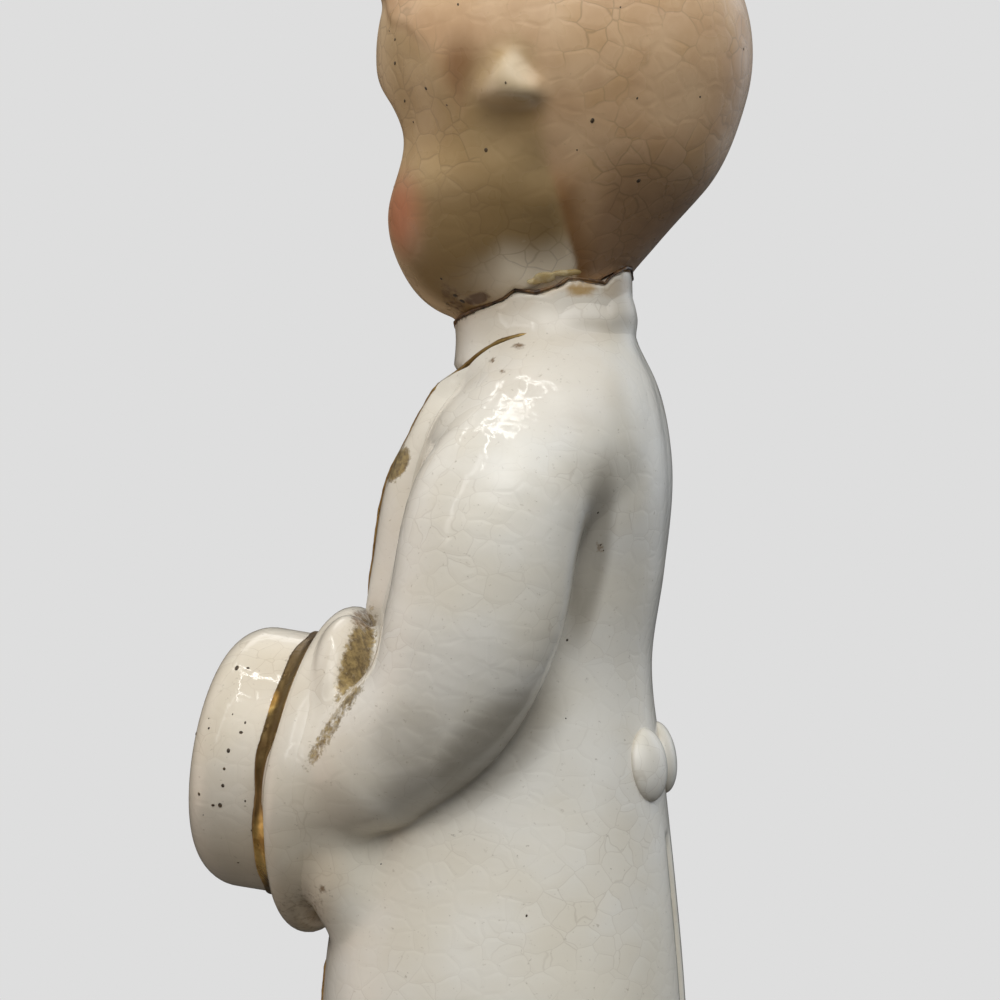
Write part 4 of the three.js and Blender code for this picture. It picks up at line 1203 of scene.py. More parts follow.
def hairline_distance(q):
    """Millimetres over the skin from the hair's edge, more than zero in the hair."""
    here = np.stack([np.radians(face_angle(q)) * UNROLL_RADIUS, q[..., 2]], -1)
    knots = np.stack([np.radians(HAIR_DEG) * UNROLL_RADIUS, HAIR_UP], -1)
    nearest = np.full(len(q), 99.0)
    for a, b in zip(knots, knots[1:]):
        share = np.clip((here - a) @ (b - a) / ((b - a) @ (b - a)), 0, 1)
        gap = np.linalg.norm(here - a - share[:, None] * (b - a), axis=-1)
        nearest = np.minimum(nearest, gap)
    over = here[:, 1] > np.interp(here[:, 0], knots[:, 0], knots[:, 1])
    return np.where(over, nearest, -nearest)


def patch_round(angle, z, at_angle, at_z, half_angle, half_z):
    """1 inside a soft oval patch on the head, 0 outside it."""
    return smooth_step(1, 0.2, np.hypot((angle - at_angle) / half_angle, (z - at_z) / half_z))


def hair_marks(q, above_break):
    """Where the hair, its darker edges, the painted shade low on the hair and face, the pale ear top
    with its painted highlight, the pale neck and the face's front lie.
    """
    angle, z = face_angle(q), q[:, 2]
    edge = hairline_distance(q)
    nape = smooth_step(*NAPE_DEG, angle) * smooth_step(*NAPE_Z, z)
    soft = HAIR_SOFT - NAPE_CRISP * nape
    stripe = STRIPE * nape * smooth_step(*STRIPE_REACH, edge) * smooth_step(*STRIPE_Z, z)
    sideburn = SIDEBURN * patch_round(angle, z, *SIDEBURN_PATCH)
    # Painted shade: the hair darker towards the lower back of the head.
    low = LOW_HAIR_SHADE * smooth_step(*LOW_HAIR_Z, z) * smooth_step(*LOW_HAIR_DEG, angle)
    # The pale ear top: worn paint and a painted highlight.
    ear_half = np.interp(z, EAR_STATIONS, EAR_HALVES)
    ear = smooth_step(*EAR_RIM, np.abs(np.radians(angle - EAR_DEG) * UNROLL_RADIUS) / ear_half)
    below_ear = smooth_step(*PALE_FROM_DEG, angle) * smooth_step(*PALE_TO_DEG, angle)
    return {
        "hair": smooth_step(-soft, soft, edge),
        "hair_edge": np.maximum(stripe, sideburn),
        "low_hair_shade": low,
        "pale_neck": smooth_step(*PALE_REACH, above_break) * below_ear,
        "ear": ear * smooth_step(*EAR_TOP_Z, z) * smooth_step(*EAR_FOOT_Z, z),
        # Painted shade on the lower face and jaw.
        "low_face_shade": smooth_step(*LOW_FACE_SHADE_Z, z) * smooth_step(*LOW_FACE_SHADE_DEG, angle),
        "face_front": smooth_step(*FACE_FRONT_DEG, angle),
    }


def oval_edge(across, up, half_across, half_up):
    """How far outside an oval on the face a place is, in millimetres."""
    return (np.hypot(across / half_across, up / half_up) - 1) * half_up


def face_marks(q):
    """How far each place lies outside the eye, brow, lash and lip, and how red the cheek is."""
    x, z, away = q[:, 0], q[:, 2], OFF_THE_FACE * (q[:, 1] > FACE_BACK_Y)
    eye = oval_edge(x - EYE_AT[0], z - EYE_AT[1], *EYE_HALF)
    brow_line = BROW_TO - BROW_FROM
    along = np.clip((x - BROW_FROM[0]) / brow_line[0], 0, 1)
    brow_x, brow_z = (BROW_FROM + along[:, None] * brow_line).T
    brow_z = brow_z + BROW_ARCH * np.sin(math.pi * along)
    lip_half = LIP_HALF[1] * np.sqrt(np.clip(1 - (x / LIP_HALF[0]) ** 2, 0, 1))
    lip_z = LIP_Z + LIP_BOW * np.cos(LIP_BOW_WAVES * x) + LIP_SLANT * x
    iris = np.hypot(x - EYE_AT[0] + IRIS_ASIDE, z - EYE_AT[1] - IRIS_ASIDE) - IRIS_RADIUS
    lash = np.where(z > EYE_AT[1] - LASH_BELOW, np.abs(eye + LASH_OUT) - LASH_HALF, OFF_THE_FACE)
    return {
        "eye": eye + away,
        "iris": iris + away,
        "brow": np.hypot(x - brow_x, z - brow_z) - BROW_HALF + BROW_THINNING * along + away,
        "lash": lash + away,
        "lip": np.abs(z - lip_z) - lip_half + OFF_THE_LIP * (x > LIP_HALF[0]) + away,
        "blush": smooth_step(*BLUSH_REACH, np.linalg.norm(q - BLUSH_AT, axis=-1)),
    }


def write_face(obj):
    places = drawing_points(obj)[0]
    q = mirrored(in_head(places))
    above_break = places[:, 2] - break_height(places[:, 0], places[:, 1])
    for name, values in {**hair_marks(q, above_break), **face_marks(q)}.items():
        write_attribute(obj, name, values)


write_face(head_piece)

# %% [markdown]
# ## Node trees
# A small helper writes node trees: any node is made by one method, and arithmetic on its result adds
# the Math nodes, so that a material reads like its formula.

# %% Tree helper
class Port:
    """One output of a node. Arithmetic on it adds the Math nodes that do it."""

    def __init__(self, tree, socket):
        self.tree, self.socket = tree, socket

    def math(self, operation, *others):
        values = dict(zip(("Value", "Value_001", "Value_002"), (self, *others)))
        return self.tree.node("ShaderNodeMath", {"operation": operation}, values)

    def __add__(self, other):
        return self.math("ADD", other)

    def __sub__(self, other):
        return self.math("SUBTRACT", other)

    def __mul__(self, other):
        return self.math("MULTIPLY", other)

    def __rsub__(self, other):
        return self * -1 + other

    __radd__, __rmul__ = __add__, __mul__


class Tree:
    """A node tree under construction."""

    def __init__(self, inner):
        self.inner = inner
        inner.nodes.clear()

    def node(self, kind, settings, values, output=0):
        """A node of a type, with its settings and then the values or links of its sockets."""
        made = self.inner.nodes.new(kind)
        for name, setting in settings.items():
            setattr(made, name, setting)
        for identifier, value in values.items():
            socket = next(s for s in made.inputs if s.identifier == identifier)
            if isinstance(value, Port):
                self.inner.links.new(value.socket, socket)
            else:
                socket.default_value = value
        sockets = {s.identifier: s for s in made.outputs}
        port = sockets[output] if isinstance(output, str) else (made.outputs or [None])[output]
        return Port(self, port)


def paint(red, green, blue):
    """A colour as it looks on a screen, 0 to 255, as the linear colour that a shader takes."""
    parts = [v / 255 for v in (red, green, blue)]
    linear = [p / 12.92 if p <= 0.04045 else ((p + 0.055) / 1.055) ** 2.4 for p in parts]
    return (*linear, 1)


# %% [markdown]
# Every finish needs the same few things: places on the piece in millimetres, clouds of a known size, a
# soft step from one value to another, a mix of two colours, and what a point of the mesh knows.

# %% Shader helpers
GRAIN = (0.45, 3, 0.65)
LUMP_STEP = (0.4, 0.62)


def millimetres(tree, shift=(0, 0, 0), turn=(0, 0, 0), stretch=(1, 1, 1)):
    """Places on the object in millimetres, moved, turned and stretched."""
    place = tree.node("ShaderNodeTexCoord", {}, {}, "Object")
    scale = [s / MM for s in stretch]
    values = {"Vector": place, "Location": shift, "Rotation": turn, "Scale": scale}
    return tree.node("ShaderNodeMapping", {}, values)


def cloud(tree, place, size, detail=2, rough=0.5, output=0):
    """Noise with clouds of about a size in millimetres."""
    values = {"Vector": place, "Scale": 1 / size, "Detail": detail, "Roughness": rough}
    return tree.node("ShaderNodeTexNoise", {}, values, output)


def step_up(port, low, high, start=0, end=1):
    """Rises smoothly from start to end while the port goes from low to high."""
    values = {"Value": port, "From Min": low, "From Max": high, "To Min": start, "To Max": end}
    return port.tree.node("ShaderNodeMapRange", {"interpolation_type": "SMOOTHSTEP"}, values)


def mixed(tree, share, a, b):
    """The first colour, with a share of the second over it."""
    settings = {"data_type": "RGBA"}
    values = {"Factor_Float": share, "A_Color": a, "B_Color": b}
    return tree.node("ShaderNodeMix", settings, values, "Result_Color")


def known(tree, name):
    """What the mesh stores at this point under a name."""
    return tree.node("ShaderNodeAttribute", {"attribute_name": name}, {}, "Fac")


def bumped(tree, height, depth, strength=1.0):
    """A normal bent by a height, with full height at a depth in millimetres."""
    values = {"Height": height, "Distance": depth * MM, "Strength": strength}
    return tree.node("ShaderNodeBump", {}, values)


def soiled(tree, grain):
    """Brown soiling, in grains at its rim."""
    return step_up(grain + known(tree, "soil") * 0.7, 0.62, 1.15)


def new_material(name, build):
    """A material whose surface a function builds."""
    material = bpy.data.materials.new(name)
    material.use_nodes = True
    tree = Tree(material.node_tree)
    shader = build(tree)
    tree.node("ShaderNodeOutputMaterial", {}, {"Surface": shader})
    print("material", name, "has", len(material.node_tree.nodes), "nodes")
    return material


def surface(tree, colour, roughness, normal, **fixed):
    values = {"Base Color": colour, "Roughness": roughness, **fixed}
    if normal:
        values["Normal"] = normal
    return tree.node("ShaderNodeBsdfPrincipled", {}, values)


# %% [markdown]
# ## The clear glaze
# The glaze has shrunk more than the clay, so it is crazed: a net of hair cracks in scalloped cells of
# about two millimetres. Old grime has darkened some of them. Creases are painted darker, as grime and
# as painted shade, and painted shade lies under the forearm, behind the arm, over parts of the hat and
# on the shoulder. Over that lie soft clouds of a warmer tone and a gentle waviness that bends the
# reflections. Stains and rubbed gold break up into grains at their rims, because they sit in the
# glaze's tiny pits.

# %% Glaze parts
CRAZE_CELL = 1.75
CRAZE_LINE = 0.03
CRAZE_BEND_SIZE, CRAZE_BEND = 1.9, (1.0, 1.0, 0.8)
SLOW_WAVE, QUICK_WAVE = (6, 0.1), (1.8, 0.008)
PILLOW_RIM = 0.2


def craze(tree, place):
    """How far a place is from the nearest hair crack, in cells, and its cell's own number."""
    bend = cloud(tree, place, CRAZE_BEND_SIZE, 1, output="Color")
    values = {"Vector": bend, "Vector_001": CRAZE_BEND, "Vector_002": place}
    bent = tree.node("ShaderNodeVectorMath", {"operation": "MULTIPLY_ADD"}, values)
    values = {"Vector": bent, "Scale": 1 / CRAZE_CELL}
    edge = tree.node("ShaderNodeTexVoronoi", {"feature": "DISTANCE_TO_EDGE"}, values)
    colour = tree.node("ShaderNodeTexVoronoi", {"feature": "F1"}, values, "Color")
    return edge, tree.node("ShaderNodeSeparateColor", {}, {"Color": colour}, "Red")


def wavy(tree, place, edge, depth):
    """The slow waves of a glazed surface, with a low pillow in each cell of the crazing."""
    slow, quick = (cloud(tree, place, size, 1) * height for size, height in (SLOW_WAVE, QUICK_WAVE))
    return bumped(tree, slow + quick + step_up(edge, 0, PILLOW_RIM) * depth, 1)


# %% Material white glaze
def white_glaze(tree):
    place = millimetres(tree, stretch=(1, 1, 1.3))
    edge, cell = craze(tree, place)
    shown = step_up(cloud(tree, place, 8, 2), 0.4, 0.7, 0.1, 1)
    line = step_up(edge, CRAZE_LINE, 0) * shown
    clouds = step_up(cloud(tree, place, 11, 3), 0.35, 0.65)
    colour = mixed(tree, clouds, paint(241, 237, 227), paint(236, 229, 213))
    colour = mixed(tree, cell * shown * 0.3, colour, paint(226, 216, 196))
    colour = mixed(tree, line * 0.2, colour, paint(150, 130, 102))
    # Creases painted darker in blotches: grime, and painted shade where the form hides the light.
    crease_dirt_and_shade = known(tree, "crease") * step_up(cloud(tree, place, 2.5, 4, 0.6), 0.3, 0.62, 0.25, 1)
    colour = mixed(tree, crease_dirt_and_shade * 0.5, colour, paint(140, 120, 92))
    # Painted shade under the forearm and behind the arm, with a little grime.
    colour = mixed(tree, known(tree, "shade_and_grime") * 0.6, colour, paint(128, 118, 100))
    # Stains by the crack, and painted shade and a warm painted reflection on the hat and the shoulder.
    colour = mixed(tree, known(tree, "stain_and_painted_shade") * 0.9, colour, paint(180, 142, 76))
    grain = cloud(tree, place, *GRAIN)
    colour = mixed(tree, soiled(tree, grain) * 0.85, colour, paint(120, 92, 60))
    gold = step_up(grain + known(tree, "gold") * 0.6, 0.62, 1.0)
    tarnish = step_up(cloud(tree, place, 0.5, 3, 0.65), 0.3, 0.7)
    rubbed = mixed(tree, tarnish, paint(178, 156, 106), paint(118, 100, 70))
    colour = mixed(tree, gold, colour, rubbed)
    rough = step_up(cloud(tree, place, 3, 2), 0.3, 0.7, 0.06, 0.15) + gold * 0.25
    return surface(tree, colour, rough, wavy(tree, place, edge, 0.008), Metallic=gold * 0.35)


# %% [markdown]
# The head has the same crazed glaze over airbrushed colour: an olive tan on the cheeks, which on the
# sides of the face partly stands for shade, painted shade on the lower face and jaw, paler at the neck
# and the front of the face, a pale ear top that is worn paint with a painted highlight, and a pinkish
# honey brown for the hair, patchy from cell to cell and painted darker towards the lower back as
# shade. The layers go on in the order in which the painter laid them, and the dirt and the painted
# crease shade come last.

# %% Material painted head
def painted_skin(tree):
    place = millimetres(tree, stretch=(1, 1, 1.15))
    edge, cell = craze(tree, place)
    shown = step_up(cloud(tree, place, 7, 2), 0.42, 0.62)
    line = step_up(edge, 1.6 * CRAZE_LINE, 0) * shown
    patch = step_up(cloud(tree, place, 6, 4, 0.6), 0.3, 0.7) * 0.6 + cell * shown * 0.4
    colour = mixed(tree, patch, paint(202, 173, 128), paint(180, 148, 100))
    # Painted shade on the lower face and jaw.
    colour = mixed(tree, known(tree, "low_face_shade") * 0.75, colour, paint(126, 100, 62))
    # The front of the face is pale; the darker olive tan left on its sides partly stands for shade.
    colour = mixed(tree, known(tree, "face_front"), colour, paint(240, 212, 172))
    colour = mixed(tree, known(tree, "pale_neck"), colour, paint(250, 236, 212))
    # The ear's top: worn paint and a painted highlight.
    colour = mixed(tree, known(tree, "ear") * 0.8, colour, paint(234, 212, 176))
    colour = mixed(tree, known(tree, "blush") * 0.65, colour, paint(196, 104, 60))
    hair = mixed(tree, patch, paint(238, 202, 160), paint(204, 160, 116))
    hair = mixed(tree, cell.math("POWER", 2) * shown * 0.35, hair, paint(238, 200, 142))
    # Painted shade: the hair darker towards the lower back of the head.
    hair = mixed(tree, known(tree, "low_hair_shade"), hair, paint(166, 130, 100))
    hair = mixed(tree, known(tree, "hair_edge"), hair, paint(146, 102, 58))
    colour = mixed(tree, known(tree, "hair"), colour, hair)
    for name, share, tone in (
        ("brow", 0.7, paint(96, 66, 38)),
        ("lip", 0.8, paint(176, 72, 52)),
        ("eye", 1, paint(226, 218, 200)),
        ("iris", 1, paint(36, 40, 66)),
        ("lash", 1, paint(52, 36, 26)),
    ):
        colour = mixed(tree, step_up(known(tree, name), 0.1, -0.1) * share, colour, tone)
    colour = mixed(tree, line * 0.28, colour, paint(104, 78, 50))
    # Creases painted darker: grime and painted shade.
    crease_dirt_and_shade = known(tree, "crease") * step_up(cloud(tree, place, 2, 3, 0.6), 0.3, 0.62, 0.3, 1)
    colour = mixed(tree, crease_dirt_and_shade * 0.25, colour, paint(96, 76, 46))
    colour = mixed(tree, known(tree, "stain_and_painted_shade") * 0.6, colour, paint(176, 134, 66))
    soil = soiled(tree, cloud(tree, place, *GRAIN))
    colour = mixed(tree, soil * 0.9, colour, paint(92, 60, 32))
    rough = step_up(cloud(tree, place, 3, 2), 0.3, 0.7, 0.22, 0.36)
    return surface(tree, colour, rough, wavy(tree, place, edge, 0.012))


# %% [markdown]
# ## Fired gold and glue
# Bright gold is a thin fired film. Where it is whole it mirrors, and where hands have rubbed it the
# brown of the flux shows. On the band that brown covers all but two spots, which are painted bright as
# a highlight. The glue has gone yellow and glossy in beads, and dark in the crack itself.

# %% Materials fired gold and dried glue
def fired_gold(tree, dulled=0.0):
    place = millimetres(tree)
    worn = step_up(cloud(tree, place, 1.6, 4, 0.65), 0.4, 0.6)
    colour = mixed(tree, worn, paint(255, 214, 130), paint(206, 160, 86))
    # Tarnish darkens the gold except where it is painted bright as a highlight.
    tarnish = known(tree, "tarnish").math("MAXIMUM", dulled)
    colour = mixed(tree, tarnish * 0.9, colour, paint(76, 58, 32))
    # Creases on the gold painted darker: dirt and painted shade.
    crease_dirt_and_shade = known(tree, "crease") * step_up(cloud(tree, place, 1.5, 3, 0.6), 0.3, 0.6, 0.3, 1)
    colour = mixed(tree, crease_dirt_and_shade * 0.5, colour, paint(90, 68, 38))
    rough = step_up(cloud(tree, place, 1.2, 3), 0.3, 0.7, 0.25, 0.5)
    return surface(tree, colour, rough, bumped(tree, cloud(tree, place, 1.2, 2), 0.1), Metallic=0.7)


def dull_gold(tree):
    """The same film where the flux shows nearly everywhere."""
    return fired_gold(tree, 0.8)


def lumpy(tree, size, dark, light):
    """Lumps of a size, and their colour."""
    lumps = cloud(tree, millimetres(tree), size, 3, 0.6)
    return lumps, mixed(tree, step_up(lumps, *LUMP_STEP), dark, light)


def dried_glue(tree):
    lumps, colour = lumpy(tree, 0.9, paint(206, 178, 112), paint(232, 212, 160))
    return surface(tree, colour, 0.07, bumped(tree, lumps, 0.15, 0.6), Alpha=0.6)


def grit(tree):
    return surface(tree, lumpy(tree, 0.3, paint(58, 48, 36), paint(98, 80, 56))[1], 0.6, None)


def crack_dirt(tree):
    lumps, colour = lumpy(tree, 0.7, paint(66, 44, 26), paint(120, 88, 50))
    return surface(tree, colour, 0.4, bumped(tree, lumps, 0.15, 0.6))


finishes = {
    name: new_material(name, build)
    for name, build in (
        ("white glaze", white_glaze),
        ("painted skin and hair", painted_skin),
        ("fired gold", fired_gold),
        ("dull gold", dull_gold),
        ("dried glue", dried_glue),
        ("crack dirt", crack_dirt),
        ("grit", grit),
    )
}

# %% [markdown]
# ## Lines that follow an edge
# The painter ran a loaded brush along the coat's edge, and the crack runs round the neck. Both are
# threads along a path, so one node tree draws them: a path becomes a curve, its thickness tapers at
# the ends and wavers like a hand, and a round profile is swept along it.

# %% Thread tree
THREAD_INPUTS = ("Radius", "Waver", "Taper", "Seed", "Material")
WAVES_PER_MM = 0.6
THREAD_SIDES = 8
TIP_SHARE = 0.15


def new_geometry_tree(name, inputs):
    """An empty geometry tree with named inputs, and the ports that they come in by."""
    inner = bpy.data.node_groups.new(name, "GeometryNodeTree")
    inner.interface.new_socket("Geometry", in_out="OUTPUT", socket_type="NodeSocketGeometry")
    for label, kind in (("Geometry", "Geometry"), *inputs):
        inner.interface.new_socket(label, in_out="INPUT", socket_type="NodeSocket" + kind)
    tree = Tree(inner)
    start = inner.nodes.new("NodeGroupInput")
    ports = {s.name: Port(tree, s) for s in start.outputs if s.name}
    return tree, ports


def finish_tree(tree, geometry, material):
    """Ends a tree in smooth, real faces with one material."""
    smooth = tree.node("GeometryNodeSetShadeSmooth", {}, {"Geometry": geometry})
    real = tree.node("GeometryNodeRealizeInstances", {}, {"Geometry": smooth})
    done = tree.node("GeometryNodeSetMaterial", {}, {"Geometry": real, "Material": material})
    end = tree.inner.nodes.new("NodeGroupOutput")
    tree.inner.links.new(done.socket, end.inputs[0])
    return tree.inner


def thread_tree():
    inputs = [(label, "Float") for label in THREAD_INPUTS[:-1]]
    tree, port = new_geometry_tree("thread along a path", [*inputs, ("Material", "Material")])
    curve = tree.node("GeometryNodeMeshToCurve", {}, {"Mesh": port["Geometry"]})
    along = tree.node("GeometryNodeSplineParameter", {}, {}, "Factor")
    span = tree.node("GeometryNodeSplineParameter", {}, {}, "Length")
    values = {"W": span * (WAVES_PER_MM / MM) + port["Seed"], "Scale": 1.0, "Detail": 2.0}
    noise = tree.node("ShaderNodeTexNoise", {"noise_dimensions": "1D"}, values)
    waver = (noise - 0.5) * port["Waver"] + 1
    ends = along.math("MINIMUM", 1 - along).math("DIVIDE", port["Taper"]).math("MINIMUM", 1)
    radius = port["Radius"] * waver * (ends.math("SQRT") * (1 - TIP_SHARE) + TIP_SHARE)
    sized = tree.node("GeometryNodeSetCurveRadius", {}, {"Curve": curve, "Radius": radius})
    values = {"Resolution": THREAD_SIDES, "Radius": 1.0}
    ring = tree.node("GeometryNodeCurvePrimitiveCircle", {}, values)
    values = {"Curve": sized, "Profile Curve": ring, "Scale": radius, "Fill Caps": True}
    return finish_tree(tree, tree.node("GeometryNodeCurveToMesh", {}, values), port["Material"])


# %% [markdown]
# A tree runs as a modifier on a path or on points. Its inputs are set by their identifiers before the
# object is first evaluated, then the result is kept as a plain mesh and the modifier goes.

# %% Running a tree
def socket_identifiers(tree):
    items = [s for s in tree.interface.items_tree if s.item_type == "SOCKET"]
    return {s.name: s.identifier for s in items if s.in_out == "INPUT"}


def grown(name, mesh, tree, slot, nodes, **inputs):
    """Runs a geometry tree on a mesh and keeps the plain result."""
    obj = bpy.data.objects.new(name, mesh)
    bpy.context.scene.collection.objects.link(obj)
    modifier = obj.modifiers.new("tree", "NODES")
    modifier.node_group = tree
    identifiers = socket_identifiers(tree)
    for label, value in inputs.items():
        modifier[identifiers[label]] = value
    evaluated = obj.evaluated_get(bpy.context.evaluated_depsgraph_get())
    made = bpy.data.meshes.new_from_object(evaluated)
    obj.modifiers.clear()
    obj.data = made
    made.name = name
    return stand_for(obj, slot, *nodes)


def path_mesh(name, points, closed=False):
    """A path of points joined by edges, open or closed."""
    count = len(points)
    edges = [(i, (i + 1) % count) for i in range(count if closed else count - 1)]
    mesh = bpy.data.meshes.new(name)
    mesh.from_pydata(in_metres(points).tolist(), edges, [])
    return mesh


# %% [markdown]
# Gold runs up both front edges of the coat: one stroke on the skirt, and one along the lapel and round
# the collar. The path is the coat's own edge, laid on the coat with its lapels and sunk a little, so
# that each stroke stands off the glaze by about half its thickness.

# %% Gold lines
GOLD_RADIUS = 0.22
GOLD_SUNK = 0.1
GOLD_INWARD = 0.08
GOLD_STEPS = 140
GOLD_WAVER, GOLD_TAPER, GOLD_SEED = 0.7, 0.06, 3.0
GOLD_STROKES = (
    ("lapel_gold", LAPEL_BOTTOM_Z + 3, EDGE_Z[-1] + 1, "lapel_gold"),
    ("skirt_gold", HEM_Z + 0.5, 39.7, "front_edge_gold"),
)


def stroke_path(low, high, side):
    """The coat's edge between two heights, as evenly spread points in the skin."""
    chosen = (EDGE_Z > low) & (EDGE_Z < high)
    along, before = np.linspace(0, 1, GOLD_STEPS), np.linspace(0, 1, chosen.sum())
    angle, z = (np.interp(along, before, line[chosen]) for line in (EDGE_ANGLES, EDGE_Z))
    path = settle(dressed, coat_skin(angle + GOLD_INWARD, z))
    return (path - outward(dressed, path) * GOLD_SUNK) * np.array([side, 1, 1])


def draw_thread(name, path, slot, node, *numbers, finish):
    """A thread along a path, from its radius, waver, taper and seed."""
    inputs = dict(zip(THREAD_INPUTS, (*numbers, finishes[finish])))
    grown(name, path, thread, slot, [node], **inputs)


thread = thread_tree()
for side, label in SIDES:
    for name, low, high, node in GOLD_STROKES:
        full = label + "_" + name + "_line"
        numbers = (GOLD_RADIUS * MM, GOLD_WAVER, GOLD_TAPER, GOLD_SEED + side)
        path = path_mesh(full, stroke_path(low, high, side))
        draw_thread(full, path, "fired_gold", label + "_" + node, *numbers, finish="dull gold")

# %% [markdown]
# The crack is a dark line of dirt and old glue round the whole neck, exactly where the broken faces
# meet the skin. Rays from the neck's axis find that line, and the same thread tree draws it.

# %% Crack and glue
CRACK_RADIUS = 0.11
CRACK_STEPS = 720
CRACK_WAVER, CRACK_TAPER, CRACK_SEED = 1.6, 0.0001, 5.0
NECK_NEAREST, NECK_FARTHEST = 3.0, 9.0
UNDER_BREAK = 0.3


def neck_skin(degrees, rise):
    """Points of the skin round the neck, at a height from the break."""
    turn = np.radians(degrees)
    ray = np.stack([np.sin(turn), -np.cos(turn)], -1)
    near, far = np.full(len(turn), NECK_NEAREST), np.full(len(turn), NECK_FARTHEST)
    for _ in range(HALVINGS):
        reach = (near + far) / 2
        x, y = (ray * reach[:, None]).T
        p = np.stack([x, y + NECK_Y, break_height(x, y + NECK_Y) + rise], -1)
        inside = np.minimum(body(p), head(p)) < 0
        near, far = np.where(inside, reach, near), np.where(inside, far, reach)
    return p


def crack_points():
    degrees = np.linspace(-180, 180, CRACK_STEPS, endpoint=False)
    line = neck_skin(degrees, -UNDER_BREAK)
    line[:, 2] = break_height(line[:, 0], line[:, 1])
    return line


crack = path_mesh("neck_crack_and_glue", crack_points(), closed=True)
numbers = (CRACK_RADIUS * MM, CRACK_WAVER, CRACK_TAPER, CRACK_SEED)
draw_thread(crack.name, crack, "dried_glue", "neck_glue_bead", *numbers, finish="crack dirt")

# %% [markdown]
# Drops of glue squeezed out of the crack and dried glossy on the skin. Each is an egg flattened onto
# the skin where the picture shows a drop, and they melt together where they touch. Each row is:
# right, up, half length, half width.

# %% Glue drops
GLUE_DROPS = (
    (3.2, 15.9, 0.8, 0.42),
    (4.5, 16.2, 0.8, 0.24),
    (5.3, 16.3, 0.6, 0.2),
    (2.4, 15.6, 0.5, 0.22),
)
DROP_THICKNESS, DROP_BLEND = 0.22, 0.2
DROP_ROOM, DROP_CELL = 1.1, 0.07
RAY_START, RAY_STEPS, RAY_CARE = 160.0, 70, 0.8


def seen_at(right, up):
    """The points of the figure that show at places in the picture."""
    right, up = np.asarray(right, float)[:, None], np.asarray(up, float)[:, None]
    ray = (SIDEWAYS * right + np.array([0, 0, 1]) * up) / CAMERA_DISTANCE - TOWARDS
    ray /= np.linalg.norm(ray, axis=1, keepdims=True)
    eye = PICTURE_HEART + TOWARDS * CAMERA_DISTANCE
    reach = np.full((len(ray), 1), RAY_START)
    for _ in range(RAY_STEPS):
        reach += RAY_CARE * np.clip(figure(eye + ray * reach), -2, 4)[:, None]
    return eye + ray * reach


drop_at = seen_at(*np.array(GLUE_DROPS)[:, :2].T)
drop_out = outward(figure, drop_at)


def glue(p):
    nearest = np.full(p.shape[:-1], 9.0)
    for at, out, (_, _, half_long, half_wide) in zip(drop_at, drop_out, GLUE_DROPS):
        radii = [half_long, half_wide, DROP_THICKNESS]
        nearest = pressed_on(nearest, (p - at) @ local_axes(out), [0, 0, 0], radii, DROP_BLEND)
    return nearest


glue_low, glue_high = drop_at.min(0) - DROP_ROOM, drop_at.max(0) + DROP_ROOM
glue_drops = piece("glue_drops", *carve(glue, glue_low, glue_high, DROP_CELL))
stand_for(glue_drops, "dried_glue")

# %% [markdown]
# Pin specks are grit and iron spots that stand a hair proud of the glaze. The ones in the picture
# have their places, the far side gets its own from a fixed seed, and one tree sets a flattened ball
# on each, turned along the skin's outward direction.

# %% Pin specks
SPECK_SEED = 11
HEAD_SPECKS = [
    (-7.9, 33.5), (-7.5, 32.9), (-7.5, 31.2), (8.6, 35.2), (6.6, 27.1), (9.8, 28.7), (5.5, 25.0),
    (-3.8, 28.2), (-6.2, 27.0), (-1.0, 25.0), (17.4, 32.2), (9.9, 22.8), (0.4, 29.8), (-3.0, 35.4),
    (-4.2, 15.8), (-3.2, 14.6), (-2.7, 14.2), (-3.8, 14.0), (-5.3, 29.4), (14.3, 28.8), (-6.8, 28.5),
]
HAT_SPECKS = [
    (-19.1, -15.3), (-20.8, -15.6), (-20.8, -16.3), (-18.2, -15.9), (-18.5, -16.6), (-19.4, -17.9),
    (-19.7, -19.2), (-19.8, -20.4), (-21.5, -21.0), (-20.5, -21.8), (-20.0, -21.8), (-18.2, -21.5),
    (-17.7, -23.6), (-21.2, -22.5), (-18.7, -25.9), (-21.7, -16.7), (-18.8, -12.0), (-18.0, -12.0),
]
COAT_SPECKS = [
    (7.2, -3.2), (4.8, -10.0), (4.7, -15.6), (10.3, -16.8), (-8.5, -26.0), (1.9, -29.7),
    (7.0, -0.9), (7.4, -3.6),
]
FAR_SPECKS = {"head": 26, "crown": 14, "coat_and_sleeves": 22, "brim": 6}
SPECK_SIZE = 0.165
SPECK_LENGTHS, SPECK_THICKNESS = (0.6, 1.7), 0.4
SKIN_NEARNESS = 0.05


def speck_tree():
    inputs = [("Size", "Float"), ("Material", "Material")]
    tree, port = new_geometry_tree("specks on a skin", inputs)
    points = tree.node("GeometryNodeMeshToPoints", {}, {"Mesh": port["Geometry"]})
    vector = {"data_type": "FLOAT_VECTOR"}
    out = tree.node("GeometryNodeInputNamedAttribute", vector, {"Name": "outward"}, "Attribute")
    shape = tree.node("GeometryNodeInputNamedAttribute", vector, {"Name": "shape"}, "Attribute")
    turn = tree.node("FunctionNodeAlignRotationToVector", {"axis": "Z"}, {"Vector": out})
    ball = tree.node("GeometryNodeMeshIcoSphere", {}, {"Radius": 1.0, "Subdivisions": 2})
    values = {"Vector": shape, "Scale": port["Size"]}
    scale = tree.node("ShaderNodeVectorMath", {"operation": "SCALE"}, values)
    values = {"Points": points, "Instance": ball, "Rotation": turn, "Scale": scale}
    specks = tree.node("GeometryNodeInstanceOnPoints", {}, values)
    return finish_tree(tree, specks, port["Material"])


